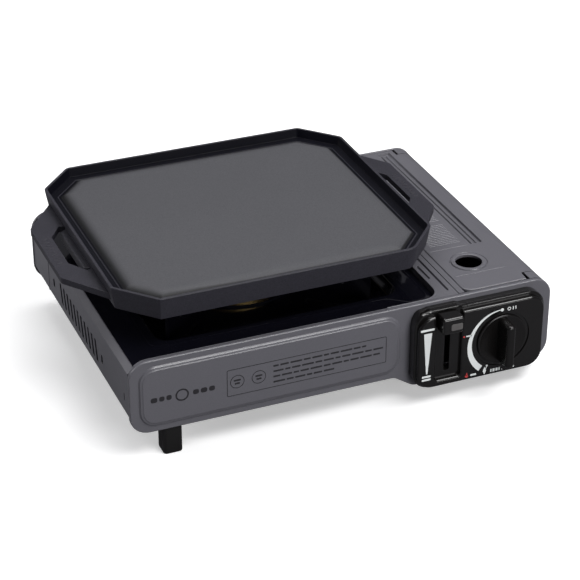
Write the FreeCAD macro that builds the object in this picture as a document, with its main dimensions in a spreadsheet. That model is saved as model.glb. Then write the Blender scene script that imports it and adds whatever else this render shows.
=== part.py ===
import FreeCAD, Part
import math
import os
import re
import Sketcher

# Portable butane stove with a cast griddle plate. X runs to the right, Y to the back and Z up from the table.
# Sizes are measured from the front panel's left edge and front face; every piece is then moved by
# (-origin_x, -origin_y), so that the origin is the middle of the whole object's footprint.

SIZES = [
    ("origin_x", 160.7, "left edge of the front panel to the middle of the footprint"),
    ("origin_y", 114.0, "front panel to the middle of the footprint"),
    ("width", 343, "front panel, left to right"),
    ("depth", 256, "front panel to rear panel, outside"),
    ("body_low", 23.5, "underside of the burner bay"),
    ("bay_low", 13, "underside of the canister bay"),
    ("body_top", 84.3, "top of the panels, the deck and the lid"),
    ("corner", 15, "corner radius of the panels"),
    ("flare_left", 211, "start of the step down to the canister bay"),
    ("flare_right", 227, "end of the step down to the canister bay"),
    ("flare_radius", 8, "radius of the step's two bends"),
    ("lip", 4, "depth of the panels' folded lip"),
    ("panel_wall", 1.2, "thickness of the panels"),
    ("panel_round", 3, "rounded front edge of the panels"),
    ("wall", 0.9, "sheet steel"),
    ("gap", 0.1, "room between sheets that butt"),
    ("field_left", 7, "embossed field of the front panel"),
    ("field_right", 214.5, "embossed field, right edge"),
    ("field_low", 29, "embossed field, lower edge"),
    ("field_top", 78, "embossed field, upper edge"),
    ("field_corner", 13, "embossed field, corner radius"),
    ("field_height", 1.2, "how far the field stands out"),
    ("side_x", 0.6, "left wall of the body"),
    ("tuck_height", 37, "where the left wall turns in"),
    ("tuck_x", 9, "where the tuck meets the bottom"),
    ("shoulder", 4.5, "bevel between the left wall and the tray"),
    ("lip_x", 14, "end of the lip that carries the tray"),
    ("tray_seat", 79.1, "lip and ledge that carry the tray"),
    ("bay_wall_top", 52, "top of the right wall"),
    ("slot_count", 11, "vent slots in the left wall"),
    ("slot_pitch", 9.1, "vent slot spacing"),
    ("slot_first", 81.5, "middle of the first vent slot"),
    ("slot_low", 42.5, "lower end of the vent slots"),
    ("slot_high", 60.5, "upper end of the vent slots"),
    ("slot_width", 3, "vent slot width"),
    ("slot_lean", 4.5, "how far a vent slot leans to the back"),
    ("side_hole_low", 47, "round-ended hole of the left wall, lower end"),
    ("side_hole_high", 55, "round-ended hole of the left wall, upper end"),
    ("side_hole_width", 4, "round-ended hole of the left wall, width"),
    ("side_hole_front", 14, "front hole, ahead of the first vent slot"),
    ("side_hole_back", 21, "rear hole, behind the last vent slot"),
    ("vent_left", 60, "first vent of the rear panel, left edge"),
    ("vent_width", 3, "vent of the rear panel, width"),
    ("vent_low", 45, "vent of the rear panel, lower end"),
    ("vent_high", 62, "vent of the rear panel, upper end"),
    ("vent_pitch", 9, "vent spacing of the rear panel"),
    ("vent_count", 13, "vents of the rear panel"),
    ("tray_left", 5.4, "left edge of the tray"),
    ("tray_right", 250, "right edge of the deck's tray opening"),
    ("tray_front", 6.8, "front edge of the deck's tray opening"),
    ("tray_corner", 16, "corner radius of the tray opening"),
    ("ledge", 6, "width of the ledge under the tray"),
    ("tray_sheet", 0.8, "enamelled sheet"),
    ("well_left", 32.5, "tray well, left edge"),
    ("well_right", 228, "tray well, right edge"),
    ("well_front", 28.5, "tray well, front edge"),
    ("well_floor", 68.8, "tray well, floor"),
    ("well_corner", 14, "tray well, corner radius"),
    ("bead_left", 22.9, "bead of the tray rim, left side"),
    ("bead_right", 243.5, "bead of the tray rim, right side"),
    ("bead_front", 20.9, "bead of the tray rim, front"),
    ("bead_corner", 10, "bead of the tray rim, corner radius"),
    ("bead_width", 2.2, "bead width"),
    ("bead_height", 0.8, "bead height"),
    ("seam_x", 265.1, "joint between the deck and the canister bay frame"),
    ("rib_x", 259.7, "groove in the deck"),
    ("rib_width", 1.2, "width of the deck groove"),
    ("rib_depth", 0.5, "depth of the deck groove"),
    ("frame_right", 270.0, "right edge of the canister bay frame"),
    ("lid_left", 270.6, "left edge of the lid"),
    ("lid_corner", 8, "corner radius of the lid's left corners"),
    ("lid_inset", 0.4, "side wall of the lid, from the panels' right edge"),
    ("lid_low", 55, "lower edge of the lid's side wall"),
    ("lid_front", 4.3, "front edge of the lid"),
    ("ear_depth", 14.3, "front edge of the lid beside the hinge ear"),
    ("ear_inset", 19, "edge of the lid beside the hinge ear, from the panels' right edge"),
    ("ear_gap", 2.0, "gap between the lid and the hinge ear"),
    ("lid_hole_x", 294.5, "finger hole"),
    ("lid_hole_y", 45.8, "finger hole"),
    ("lid_hole", 10.5, "finger hole radius"),
    ("lid_ring", 14.7, "raised ring round the finger hole, radius"),
    ("channel_left", 308, "rib channel of the lid"),
    ("channel_right", 320, "rib channel of the lid"),
    ("channel_front", 71, "rib channel of the lid"),
    ("channel_room", 8, "rib channel of the lid, from the rear panel's outside"),
    ("channel_depth", 1.5, "rib channel depth"),
    ("hinge_inset", 6, "lid hinge axis, from the panels' right edge"),
    ("hinge_z", 60, "lid hinge axis"),
    ("hinge_pin", 1.5, "hinge pin radius"),
    ("running", 0.06, "radial clearance of a pin or shaft that turns"),
    ("fascia_left", 222.8, "control panel, left"),
    ("fascia_right", 333.2, "control panel, right"),
    ("fascia_low", 13.7, "control panel, bottom"),
    ("fascia_top", 80.5, "control panel, top"),
    ("fascia_corner", 14.5, "control panel, corner radius"),
    ("fascia_step", 9, "depth of the control panel's base"),
    ("fascia_face", 12.5, "front plane of the control panel"),
    ("fascia_inset", 1.7, "face inset from the base"),
    ("fascia_wall", 2, "control panel wall"),
    ("knob_x", 295.5, "knob axis"),
    ("knob_z", 46.2, "knob axis"),
    ("knob_radius", 21, "knob radius"),
    ("knob_disc", 13.4, "front plane of the knob's disc"),
    ("knob_front", 28, "front plane of the knob's grip"),
    ("knob_room", 0.6, "gap between the knob and its recess"),
    ("grip_width", 8, "width of the grip bar"),
    ("dial_recess", 23.6, "round recess behind the knob, radius"),
    ("dial_depth", 1.0, "round recess depth"),
    ("spindle", 3, "valve spindle radius"),
    ("lever_x", 250.2, "lock lever, middle"),
    ("lever_slot", 5, "width of the lever slot"),
    ("slot_bottom", 27, "lower end of the lever slot"),
    ("slot_top", 76, "upper end of the lever slot"),
    ("channel_start", 239.5, "lever channel of the control panel, left side"),
    ("channel_end", 261, "lever channel of the control panel, right side"),
    ("channel_low", 21, "lever channel of the control panel, lower end"),
    ("channel_deep", 3.0, "lever channel of the control panel, depth"),
    ("cap_left", 240.5, "lever cap"),
    ("cap_right", 257.5, "lever cap"),
    ("cap_low", 65.5, "lever cap, lower edge at rest"),
    ("cap_top", 79.5, "lever cap, upper edge at rest"),
    ("cap_front", 21.5, "lever cap, front plane"),
    ("cap_nose", 8.5, "lever cap, height of its upright front"),
    ("cap_lean", 3, "lever cap, how far its upper front leans back"),
    ("stem_low", 66, "lever stem, lower edge at rest"),
    ("stem_high", 74, "lever stem, upper edge at rest"),
    ("lever_travel", 26, "travel of the lever from unlock to lock"),
    ("carriage_travel", 8, "travel of the canister carriage"),
    ("bed_half", 19.5, "canister bed, half width"),
    ("bed_front", 66, "canister bed, front edge at rest"),
    ("bed_back", 11, "canister pusher, from the rear panel's outside"),
    ("bed_low", 0.7, "canister bed, above the sheet of the bay"),
    ("pusher_top", 66, "canister pusher, upper edge"),
    ("bed_sheet", 1, "sheet of the canister carriage"),
    ("arm_reach", 10, "width of the carriage's side arm"),
    ("rail_front", 78, "canister rails, front edge"),
    ("rail_top", 22.5, "canister rails, upper edge"),
    ("arm_x", 261, "lever arm plate"),
    ("arm_back", 32, "lever arm plate, rear edge"),
    ("arm_low", 44, "lever arm plate, lower edge at rest"),
    ("arm_top", 80.5, "lever arm plate, upper edge at rest"),
    ("arm_sheet", 1.5, "lever arm plate"),
    ("cam_pin_y", 26, "carriage pin at rest"),
    ("cam_pin_z", 48, "carriage pin"),
    ("cam_pin", 1.5, "carriage pin radius"),
    ("cam_room", 0.15, "clearance of the pin in its slot"),
    ("canister_x", 304.7, "canister axis"),
    ("canister_z", 49.2, "canister axis"),
    ("socket", 18, "canister collar socket radius"),
    ("socket_depth", 6, "canister collar socket depth"),
    ("regulator_radius", 22, "regulator drum radius"),
    ("regulator_front", 14, "regulator, front face"),
    ("regulator_back", 48, "regulator, rear face"),
    ("pipe_y", 38, "gas pipe through the bay wall"),
    ("pipe_z", 34, "gas pipe through the bay wall"),
    ("pipe", 2.5, "gas pipe radius"),
    ("igniter_left", 281, "igniter barrel, left end"),
    ("igniter_y", 9.5, "igniter axis"),
    ("igniter_z", 68, "igniter axis"),
    ("wire_y", 37, "ignition wire through the bay wall"),
    ("wire_z", 65, "ignition wire through the bay wall"),
    ("wire", 1.2, "ignition wire radius"),
    ("burner_x", 127.5, "burner axis"),
    ("burner_radius", 32, "burner bowl radius"),
    ("burner_low", 44, "burner bowl, underside"),
    ("burner_rim", 80, "burner bowl, rim"),
    ("burner_wall", 3, "burner bowl wall"),
    ("ceramic_low", 56.2, "electrode's ceramic, lower end"),
    ("ceramic", 2.2, "electrode's ceramic, radius"),
    ("ceramic_length", 18, "electrode's ceramic, length"),
    ("spark_pin", 0.8, "electrode's pin, radius"),
    ("holder_z", 62, "electrode holder, underside"),
    ("burner_hole", 42, "burner opening of the tray"),
    ("tube_radius", 8, "mixing tube radius"),
    ("tube_z", 54, "mixing tube axis"),
    ("tube_end", 108, "mixing tube, from the burner axis"),
    ("aim_across", 100, "mixing tube's aim, to the right of the burner axis"),
    ("aim_behind", 13, "mixing tube's aim, behind the gas pipe"),
    ("cap_radius", 37, "burner cap radius"),
    ("cap_rise", 6, "burner cap height"),
    ("flame_ports", 30, "flame slots of the burner cap"),
    ("support_ring", 58, "pan support ring radius"),
    ("support_band", 7, "pan support ring width"),
    ("support_sheet", 1.6, "pan support sheet"),
    ("fin_room", 15.97, "outer end of the fins, from the well's front wall"),
    ("fin_edge", 90, "height of the fins' outer edge"),
    ("seat_gap", 0.2, "room under a piece that only rests on another"),
    ("griddle_x", 130.9, "griddle centre"),
    ("griddle_shift", 0.2, "griddle centre, behind the burner axis"),
    ("griddle_half_x", 128.2, "griddle rim, half width"),
    ("griddle_half_y", 115.4, "griddle rim, half depth"),
    ("chamfer_x", 27.3, "griddle corner"),
    ("chamfer_y", 30, "griddle corner"),
    ("griddle_low", 107, "griddle, lower edge"),
    ("griddle_top", 125.5, "griddle, rim"),
    ("draft", 3, "draft of the griddle wall"),
    ("rim", 2.4, "griddle rim thickness"),
    ("moat_floor", 117.5, "moat round the cooking face"),
    ("moat_outer", 11, "foot of the cooking face, from the rim's outside"),
    ("face_inset", 17, "cooking face, from the rim's outside"),
    ("cooking_face", 121, "cooking face"),
    ("hollow_top", 112, "underside of the griddle's plate"),
    ("skirt", 5, "griddle skirt thickness"),
    ("corner_out", 6, "griddle, rounding of the outer corners"),
    ("corner_in", 3, "griddle, rounding of the rim's inner corners"),
    ("handle_reach", 152.5, "griddle handle, from the griddle centre"),
    ("handle_root", 81, "half width of a handle at the wall"),
    ("handle_tip", 41.5, "half width of a handle at its end"),
    ("handle_top", 116, "top of the handles"),
    ("handle_thick", 5, "handle thickness"),
    ("grip_outer", 141, "handle opening, outer edge"),
    ("grip_mid", 131, "handle opening, widest line"),
    ("grip_half", 22, "handle opening, half length of the outer edge"),
    ("grip_wide", 37.4, "handle opening, half length at the widest line"),
    ("grip_inner", 124.6, "handle opening, inner edge"),
    ("foot_x", 25.3, "left feet"),
    ("foot_width", 15, "foot, left to right"),
    ("foot_depth", 15, "foot, front to back"),
    ("foot_y", 1.6, "front left foot, from the front panel"),
    ("right_foot_x", 268, "right feet"),
    ("right_foot_y", 22, "front right foot, from the front panel"),
    ("foot_round", 2.8, "foot corner radius"),
    ("screw", 1.5, "screw radius"),
    ("screw_head", 3, "screw head radius"),
    ("screw_room", 0.2, "clearance of a screw in its hole"),
]

doc = FreeCAD.newDocument("CampingStove")
sheet = doc.addObject("Spreadsheet::Sheet", "Sizes")
for row, (alias, value, note) in enumerate(SIZES, start=1):
    sheet.set("A%d" % row, note)
    sheet.set("B%d" % row, str(value))
    sheet.setAlias("B%d" % row, alias)
doc.recompute()

PIECES = []
FUNCTIONS = ("cos", "sin", "tan", "sqrt", "atan")
# Places that follow from the sizes above, so that what fits a panel or the tray moves with it.
TIED = {
    "burner_y": "(depth / 2)",
    "griddle_y": "(depth / 2 + griddle_shift)",
    "lid_right": "(width - lid_inset)",
    "ear_left": "(width - ear_inset)",
    "hinge_x": "(width - hinge_inset)",
    "channel_back": "(depth - channel_room)",
    "fin_reach": "((depth / 2 - well_front - tray_sheet - fin_room) * sqrt(2))",
}
WORD = re.compile(r"[a-z]\w*")
FAR = 400


# ---------------------------------------------------------------- sizes and places

def bound(text):
    """An expression in which every word is a size of the sheet, or follows from such sizes."""
    def swap(found):
        word = found[0]
        if word in TIED:
            return bound(TIED[word])
        return word if word in FUNCTIONS else "Sizes." + word

    return WORD.sub(swap, str(text))


def size(text):
    """The number that a size expression stands for now."""
    return float(sheet.evalExpression(bound(text)))


def tie(item, **expressions):
    """Bind properties such as Length or Radius to size expressions."""
    for name, text in expressions.items():
        item.setExpression(name, bound(text))
    return item


def set_place(item, x=0, y=0, z=0):
    """Bind an object's base point to size expressions."""
    for axis, text in zip("xyz", (x, y, z)):
        item.setExpression("Placement.Base." + axis, bound(text))
    return item


def finish(item, label):
    """Name a finished piece and move it so that the origin is the middle of the footprint."""
    item.Label = label
    set_place(item, "-origin_x", "-origin_y", "0")
    PIECES.append(item)
    return item


# ---------------------------------------------------------------- sketches

PLANES = {"XY": "XY_Plane", "XZ": "XZ_Plane", "YZ": "YZ_Plane"}


def new_body(label):
    body = doc.addObject("PartDesign::Body", label)
    return finish(body, label)


def new_sketch(body, plane, level):
    """A sketch on a plane of its body's origin, at the given X, Y or Z."""
    sketch = body.newObject("Sketcher::SketchObject", body.Label + "_sketch")
    support = next(face for face in body.Origin.OriginFeatures if face.Role == PLANES[plane])
    sketch.AttachmentSupport = [(support, "")]
    sketch.MapMode = "FlatFace"
    sign = "-1" if plane == "XZ" else "1"
    sketch.setExpression("AttachmentOffset.Base.z", bound("%s * (%s)" % (sign, level)))
    return sketch


def hold(sketch, kind, geometry, point, text):
    """Hold a point at a signed distance from the sketch's origin."""
    index = sketch.addConstraint(Sketcher.Constraint(kind, -1, 1, geometry, point, size(text)))
    sketch.setExpression("Constraints[%d]" % index, bound(text))


def vector(x, y):
    return FreeCAD.Vector(size(x), size(y), 0)


def add_polygon(sketch, points):
    """A closed outline through points given as pairs of size expressions."""
    corners = [vector(x, y) for x, y in points]
    count = len(corners)
    lines = [Part.LineSegment(corners[i], corners[(i + 1) % count]) for i in range(count)]
    first = sketch.addGeometry(lines)[0]
    for i in range(count):
        sketch.addConstraint(Sketcher.Constraint("Coincident", first + i, 2, first + (i + 1) % count, 1))
    for i, (x, y) in enumerate(points):
        hold(sketch, "DistanceX", first + i, 1, x)
        hold(sketch, "DistanceY", first + i, 1, y)
    return sketch


def add_rectangle(sketch, left, right, low, high):
    return add_polygon(sketch, [(left, low), (right, low), (right, high), (left, high)])


def add_circle(sketch, x, y, radius):
    circle = Part.Circle(vector(x, y), FreeCAD.Vector(0, 0, 1), size(radius))
    index = sketch.addGeometry(circle)
    hold(sketch, "DistanceX", index, 3, x)
    hold(sketch, "DistanceY", index, 3, y)
    radius_index = sketch.addConstraint(Sketcher.Constraint("Radius", index, size(radius)))
    sketch.setExpression("Constraints[%d]" % radius_index, bound(radius))
    return sketch


def add_rounded(sketch, left, right, low, high, radius):
    """A rectangle with rounded corners: four sides, four arcs, all tangent."""
    x0, x1, y0, y1, r = (size(text) for text in (left, right, low, high, radius))
    corners = [(x1 - r, y0 + r, -90), (x1 - r, y1 - r, 0), (x0 + r, y1 - r, 90), (x0 + r, y0 + r, 180)]
    ends = [((x0 + r, y0), (x1 - r, y0)), ((x1, y0 + r), (x1, y1 - r)),
            ((x1 - r, y1), (x0 + r, y1)), ((x0, y1 - r), (x0, y0 + r))]
    lines = [Part.LineSegment(FreeCAD.Vector(*a, 0), FreeCAD.Vector(*b, 0)) for a, b in ends]
    arcs = []
    for x, y, start in corners:
        circle = Part.Circle(FreeCAD.Vector(x, y, 0), FreeCAD.Vector(0, 0, 1), r)
        arcs.append(Part.ArcOfCircle(circle, math.radians(start), math.radians(start + 90)))
    line = sketch.addGeometry(lines)[0]
    arc = sketch.addGeometry(arcs)[0]
    for i in range(4):
        sketch.addConstraint(Sketcher.Constraint("Tangent", line + i, 2, arc + i, 1))
        sketch.addConstraint(Sketcher.Constraint("Tangent", arc + i, 2, line + (i + 1) % 4, 1))
    for i, kind in enumerate(("Horizontal", "Vertical")):
        sketch.addConstraint(Sketcher.Constraint(kind, line + i))
        sketch.addConstraint(Sketcher.Constraint(kind, line + i + 2))
    for i in range(1, 4):
        sketch.addConstraint(Sketcher.Constraint("Equal", arc, arc + i))
    radius_index = sketch.addConstraint(Sketcher.Constraint("Radius", arc, r))
    sketch.setExpression("Constraints[%d]" % radius_index, bound(radius))
    hold(sketch, "DistanceY", line, 1, low)
    hold(sketch, "DistanceX", line + 1, 1, right)
    hold(sketch, "DistanceY", line + 2, 1, high)
    hold(sketch, "DistanceX", line + 3, 1, left)
    return sketch


# ---------------------------------------------------------------- features

def volume(body):
    doc.recompute()
    return body.Shape.Volume


def pad(sketch, length, up=True, taper="0"):
    """Add material from a sketch, towards +X, +Y or +Z when up; a negative taper draws the sides in."""
    body = sketch.getParentGeoFeatureGroup()
    before = volume(body) if body.Tip else 0
    feature = body.newObject("PartDesign::Pad", body.Label + "_pad")
    feature.Profile = sketch
    faces_back = sketch.AttachmentSupport[0][0].Role == "XZ_Plane"
    feature.Reversed = up if faces_back else not up
    tie(feature, Length=length, TaperAngle=taper)
    if volume(body) <= before:
        raise RuntimeError("a pad of %s adds nothing" % body.Label)
    return feature


def cut(sketch, length, up=True):
    """Remove material from a sketch, towards +X, +Y or +Z when up."""
    body = sketch.getParentGeoFeatureGroup()
    before = volume(body)
    feature = body.newObject("PartDesign::Pocket", body.Label + "_cut")
    feature.Profile = sketch
    faces_back = sketch.AttachmentSupport[0][0].Role == "XZ_Plane"
    feature.Reversed = not up if faces_back else up
    tie(feature, Length=length)
    if volume(body) >= before:
        raise RuntimeError("a cut of %s removes nothing" % body.Label)
    return feature


def line_along(edge, axis):
    """Whether an edge is straight and runs along X, Y or Z."""
    if not isinstance(edge.Curve, Part.Line):
        return False
    return abs(getattr(edge.Curve.Direction, axis)) > 0.999


def at(edge, axis, text):
    """Whether the whole edge lies at one X, Y or Z."""
    box = edge.BoundBox
    low = getattr(box, axis.upper() + "Min")
    high = getattr(box, axis.upper() + "Max")
    place = size(text)
    return abs(low - place) < 0.01 and abs(high - place) < 0.01


def edge_names(body, test):
    doc.recompute()
    names = ["Edge%d" % i for i, edge in enumerate(body.Tip.Shape.Edges, start=1) if test(edge)]
    if not names:
        raise RuntimeError("no edge of %s passes the test" % body.Label)
    return names


def fillet(body, radius, test):
    names = edge_names(body, test)
    base = body.Tip
    feature = body.newObject("PartDesign::Fillet", body.Label + "_fillet")
    feature.Base = (base, names)
    return tie(feature, Radius=radius)


def shell_out(body, thickness, test):
    """Hollow the body to a wall, open at the faces that pass the test."""
    doc.recompute()
    base = body.Tip
    names = ["Face%d" % i for i, face in enumerate(base.Shape.Faces, start=1) if test(face)]
    feature = body.newObject("PartDesign::Thickness", body.Label + "_wall")
    feature.Base = (base, names)
    feature.Reversed = True
    feature.Join = 0
    return tie(feature, Value=thickness)


def row_of(body, feature, direction, length, count):
    """A linear pattern of one feature along a base axis of the body."""
    pattern = body.newObject("PartDesign::LinearPattern", body.Label + "_row")
    axis = next(line for line in body.Origin.OriginFeatures if line.Role == direction)
    pattern.Originals = [feature]
    pattern.Direction = (axis, [""])
    tie(pattern, Length=length, Occurrences=count)
    body.Tip = pattern
    doc.recompute()
    return pattern


# ---------------------------------------------------------------- primitives

TURNS = {
    "x": FreeCAD.Rotation(FreeCAD.Vector(0, 1, 0), 90),
    "y": FreeCAD.Rotation(FreeCAD.Vector(1, 0, 0), -90),
    "z": FreeCAD.Rotation(),
}


def rod(axis, x, y, z, radius, length):
    """A cylinder that starts at a point and runs towards +X, +Y or +Z."""
    item = doc.addObject("Part::Cylinder", "rod")
    item.Placement = FreeCAD.Placement(FreeCAD.Vector(), TURNS[axis])
    tie(item, Radius=radius, Height=length)
    return set_place(item, x, y, z)


def block(x0, x1, y0, y1, z0, z1):
    """A box between two corners."""
    item = doc.addObject("Part::Box", "block")
    tie(item, Length="(%s) - (%s)" % (x1, x0), Width="(%s) - (%s)" % (y1, y0), Height="(%s) - (%s)" % (z1, z0))
    return set_place(item, x0, y0, z0)


def fuse(*items):
    joined = doc.addObject("Part::MultiFuse", "joined")
    joined.Shapes = list(items)
    joined.Refine = True
    return joined


def take(base, *tools):
    """The base with the tools cut away."""
    result = base
    for tool in tools:
        step = doc.addObject("Part::Cut", "cut")
        step.Base = result
        step.Tool = tool
        result = step
    return result


# ---------------------------------------------------------------- sheet metal of the body

PANEL_OUTLINE = [("0", "body_low"), ("flare_left", "body_low"), ("flare_right", "bay_low"),
                 ("width", "bay_low"), ("width", "body_top"), ("0", "body_top")]


def panel_shell(body, start, length, face, open_face):
    """A flanged panel: outline, rounded corners, rounded outer edge, hollow from the inside."""
    pad(add_polygon(new_sketch(body, "XZ", start), PANEL_OUTLINE), length)
    bends = ("flare_left", "flare_right")
    fillet(body, "corner", lambda e: line_along(e, "y") and not any(at(e, "x", bend) for bend in bends))
    fillet(body, "flare_radius", lambda e: line_along(e, "y") and
           ((at(e, "x", "flare_left") and at(e, "z", "body_low")) or
            (at(e, "x", "flare_right") and at(e, "z", "bay_low"))))
    fillet(body, "panel_round", lambda e: at(e, "y", face))
    shell_out(body, "panel_wall", lambda f: f.BoundBox.YLength < 0.01 and
              abs(f.BoundBox.YMin - size(open_face)) < 0.01)


def make_front_panel():
    body = new_body("front_panel")
    panel_shell(body, "0", "lip", "0", "lip")
    field = new_sketch(body, "XZ", "0")
    add_rounded(field, "field_left", "field_right", "field_low", "field_top", "field_corner")
    pad(field, "field_height", up=False)
    fillet(body, "field_height * 0.8", lambda e: at(e, "y", "-field_height"))
    holes = new_sketch(body, "XZ", "-2")
    add_circle(holes, "knob_x", "knob_z", "spindle + 5")
    add_rectangle(holes, "lever_x - lever_slot / 2 - 1", "lever_x + lever_slot / 2 + 1",
                  "slot_bottom", "slot_top")
    cut(holes, "lip + 3")


def make_rear_panel():
    body = new_body("rear_panel")
    panel_shell(body, "depth - lip", "lip", "depth", "depth - lip")
    vents = new_sketch(body, "XZ", "depth - 6")
    add_rounded(vents, "vent_left", "vent_left + vent_width", "vent_low", "vent_high", "vent_width / 2 - 0.1")
    first = cut(vents, "10")
    row_of(body, first, "X_Axis", "(vent_count - 1) * vent_pitch", "vent_count")


SHELL_OUTLINE = [("side_x", "tuck_height"), ("tuck_x", "body_low"), ("flare_left", "body_low"),
                 ("flare_right", "bay_low"), ("width - side_x", "bay_low"), ("width - side_x", "bay_wall_top"),
                 ("lip_x", "bay_wall_top"), ("lip_x", "tray_seat"),
                 ("side_x + shoulder", "tray_seat"), ("side_x", "tray_seat - shoulder")]


def make_body_shell():
    body = new_body("body_shell")
    pad(add_polygon(new_sketch(body, "XZ", "lip + gap"), SHELL_OUTLINE), "depth - 2 * lip - 2 * gap")
    fillet(body, "corner - 1", lambda e: line_along(e, "y") and at(e, "x", "width - side_x") and
           at(e, "z", "bay_low"))
    fillet(body, "flare_radius - 1", lambda e: line_along(e, "y") and
           (at(e, "z", "tuck_height") or (at(e, "x", "tuck_x") and at(e, "z", "body_low"))))

    def is_open(face):
        box = face.BoundBox
        ends = box.YLength < 0.01
        inner_side = box.XLength < 0.01 and abs(box.XMin - size("lip_x")) < 0.01
        top = box.ZLength < 0.01 and abs(box.ZMin - size("bay_wall_top")) < 0.01
        return ends or inner_side or top

    shell_out(body, "wall", is_open)
    slot = new_sketch(body, "YZ", "-5")
    low_y, high_y = "slot_first - slot_lean / 2", "slot_first + slot_lean / 2"
    add_polygon(slot, [(low_y + " - slot_width / 2", "slot_low"), (low_y + " + slot_width / 2", "slot_low"),
                       (high_y + " + slot_width / 2", "slot_high"), (high_y + " - slot_width / 2", "slot_high")])
    first = cut(slot, "10")
    row_of(body, first, "Y_Axis", "(slot_count - 1) * slot_pitch", "slot_count")
    last = "slot_first + (slot_count - 1) * slot_pitch"
    for middle in ("slot_first - side_hole_front", last + " + side_hole_back"):
        hole = new_sketch(body, "YZ", "-5")
        add_rounded(hole, middle + " - side_hole_width / 2", middle + " + side_hole_width / 2", "side_hole_low",
                    "side_hole_high", "side_hole_width / 2 - 0.1")
        cut(hole, "10")
    floor_holes = new_sketch(body, "XY", "bay_low - 5")
    for x, y in foot_middles():
        add_circle(floor_holes, x, y, "screw + screw_room")
    cut(floor_holes, "20")


def foot_middles():
    """The four screw places: left front, left back, right front, right back."""
    left = "foot_x + foot_width / 2"
    right = "right_foot_x + foot_width / 2"
    front = "foot_y + foot_depth / 2"
    right_front = "right_foot_y + foot_depth / 2"
    return [(left, front), (left, "depth - (%s)" % front),
            (right, right_front), (right, "depth - (%s)" % right_front)]


def make_top_deck():
    body = new_body("top_deck")
    top = new_sketch(body, "XY", "tray_seat")
    add_rectangle(top, "side_x + shoulder + 0.2", "seam_x - 0.2", "lip + gap", "depth - lip - gap")
    pad(top, "body_top - tray_seat")
    ledge = new_sketch(body, "XY", "tray_seat - wall")
    add_rectangle(ledge, "lip_x + 0.3", "seam_x - 0.2", "lip + gap", "depth - lip - gap")
    pad(ledge, "wall")
    opening = new_sketch(body, "XY", "body_top + 1")
    add_rounded(opening, "-40", "tray_right", "tray_front", "depth - tray_front", "tray_corner")
    cut(opening, "body_top + 1 - tray_seat", up=False)
    inner = new_sketch(body, "XY", "tray_seat + 1")
    add_rounded(inner, "-40", "tray_right - ledge", "tray_front + ledge", "depth - tray_front - ledge",
                "tray_corner - 4")
    cut(inner, "5", up=False)
    hollow = new_sketch(body, "XY", "tray_seat - wall - 1")
    add_rectangle(hollow, "tray_right + 1.2", "seam_x - 0.2 - wall", "tray_front + 1.2", "depth - tray_front - 1.2")
    cut(hollow, "body_top - tray_seat + 1")
    groove = new_sketch(body, "XY", "body_top")
    add_rectangle(groove, "rib_x - rib_width / 2", "rib_x + rib_width / 2", "11.3", "depth - 11.3")
    cut(groove, "rib_depth", up=False)
    fillet(body, "2", lambda e: at(e, "z", "body_top") and not line_along(e, "x") and
           abs(e.BoundBox.XMax - size("tray_right")) < 0.01 and e.BoundBox.YLength > 5)


def make_drip_tray():
    body = new_body("drip_tray")
    rim_left, rim_right = "tray_left", "tray_right - 0.4"
    rim_front, rim_back = "tray_front + 0.4", "depth - tray_front - 0.4"
    rim = new_sketch(body, "XY", "tray_seat")
    add_polygon(rim, [(rim_left, rim_front), (rim_right, rim_front), (rim_right, rim_back), (rim_left, rim_back)])
    pad(rim, "tray_sheet")
    fillet(body, "tray_corner - 0.4", lambda e: line_along(e, "z") and at(e, "x", rim_right))
    well = new_sketch(body, "XY", "well_floor - tray_sheet")
    add_rounded(well, "well_left", "well_right", "well_front", "depth - well_front", "well_corner")
    pad(well, "tray_seat - well_floor + tray_sheet")
    inside = new_sketch(body, "XY", "tray_seat + tray_sheet")
    add_rounded(inside, "well_left + tray_sheet", "well_right - tray_sheet", "well_front + tray_sheet",
                "depth - well_front - tray_sheet", "well_corner - tray_sheet")
    cut(inside, "tray_seat - well_floor + tray_sheet", up=False)
    collar = new_sketch(body, "XY", "well_floor - tray_sheet")
    add_circle(collar, "burner_x", "burner_y", "burner_hole + 1.5")
    pad(collar, "5")
    opening = new_sketch(body, "XY", "well_floor - 5")
    add_circle(opening, "burner_x", "burner_y", "burner_hole")
    cut(opening, "20")
    fillet(body, "3", lambda e: at(e, "z", "well_floor") and e.BoundBox.XMin < size("well_right") and
           not isinstance(e.Curve, Part.Circle) or (at(e, "z", "well_floor") and
           isinstance(e.Curve, Part.Circle) and e.Curve.Radius < size("well_corner")))
    bead = new_sketch(body, "XY", "tray_seat + tray_sheet")
    add_rounded(bead, "bead_left", "bead_right", "bead_front", "depth - bead_front", "bead_corner")
    add_rounded(bead, "bead_left + bead_width", "bead_right - bead_width", "bead_front + bead_width",
                "depth - bead_front - bead_width", "bead_corner - bead_width")
    pad(bead, "bead_height")
    fillet(body, "bead_height * 0.7", lambda e: at(e, "z", "tray_seat + tray_sheet + bead_height"))


def make_bay_frame():
    """The wall between burner and canister, with the strip that the lid closes on."""
    body = new_body("bay_frame")
    inner = "seam_x + 0.2"
    profile = new_sketch(body, "XZ", "lip + gap")
    add_polygon(profile, [(inner, "bay_low + wall + 0.1"), (inner, "body_top"), ("frame_right", "body_top"),
                          ("frame_right", "body_top - wall"), (inner + " + wall", "body_top - wall"),
                          (inner + " + wall", "bay_low + wall + 0.1")])
    pad(profile, "depth - 2 * lip - 2 * gap")
    holes = new_sketch(body, "YZ", "seam_x - 5")
    add_circle(holes, "pipe_y", "pipe_z", "pipe + 0.8")
    add_rounded(holes, "cam_pin_y - carriage_travel - cam_pin - 1", "cam_pin_y + cam_pin + 1",
                "cam_pin_z - cam_pin - 1", "cam_pin_z + cam_pin + 1", "cam_pin + 0.9")
    add_circle(holes, "wire_y", "wire_z", "wire + 2.3")
    cut(holes, "12")


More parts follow.
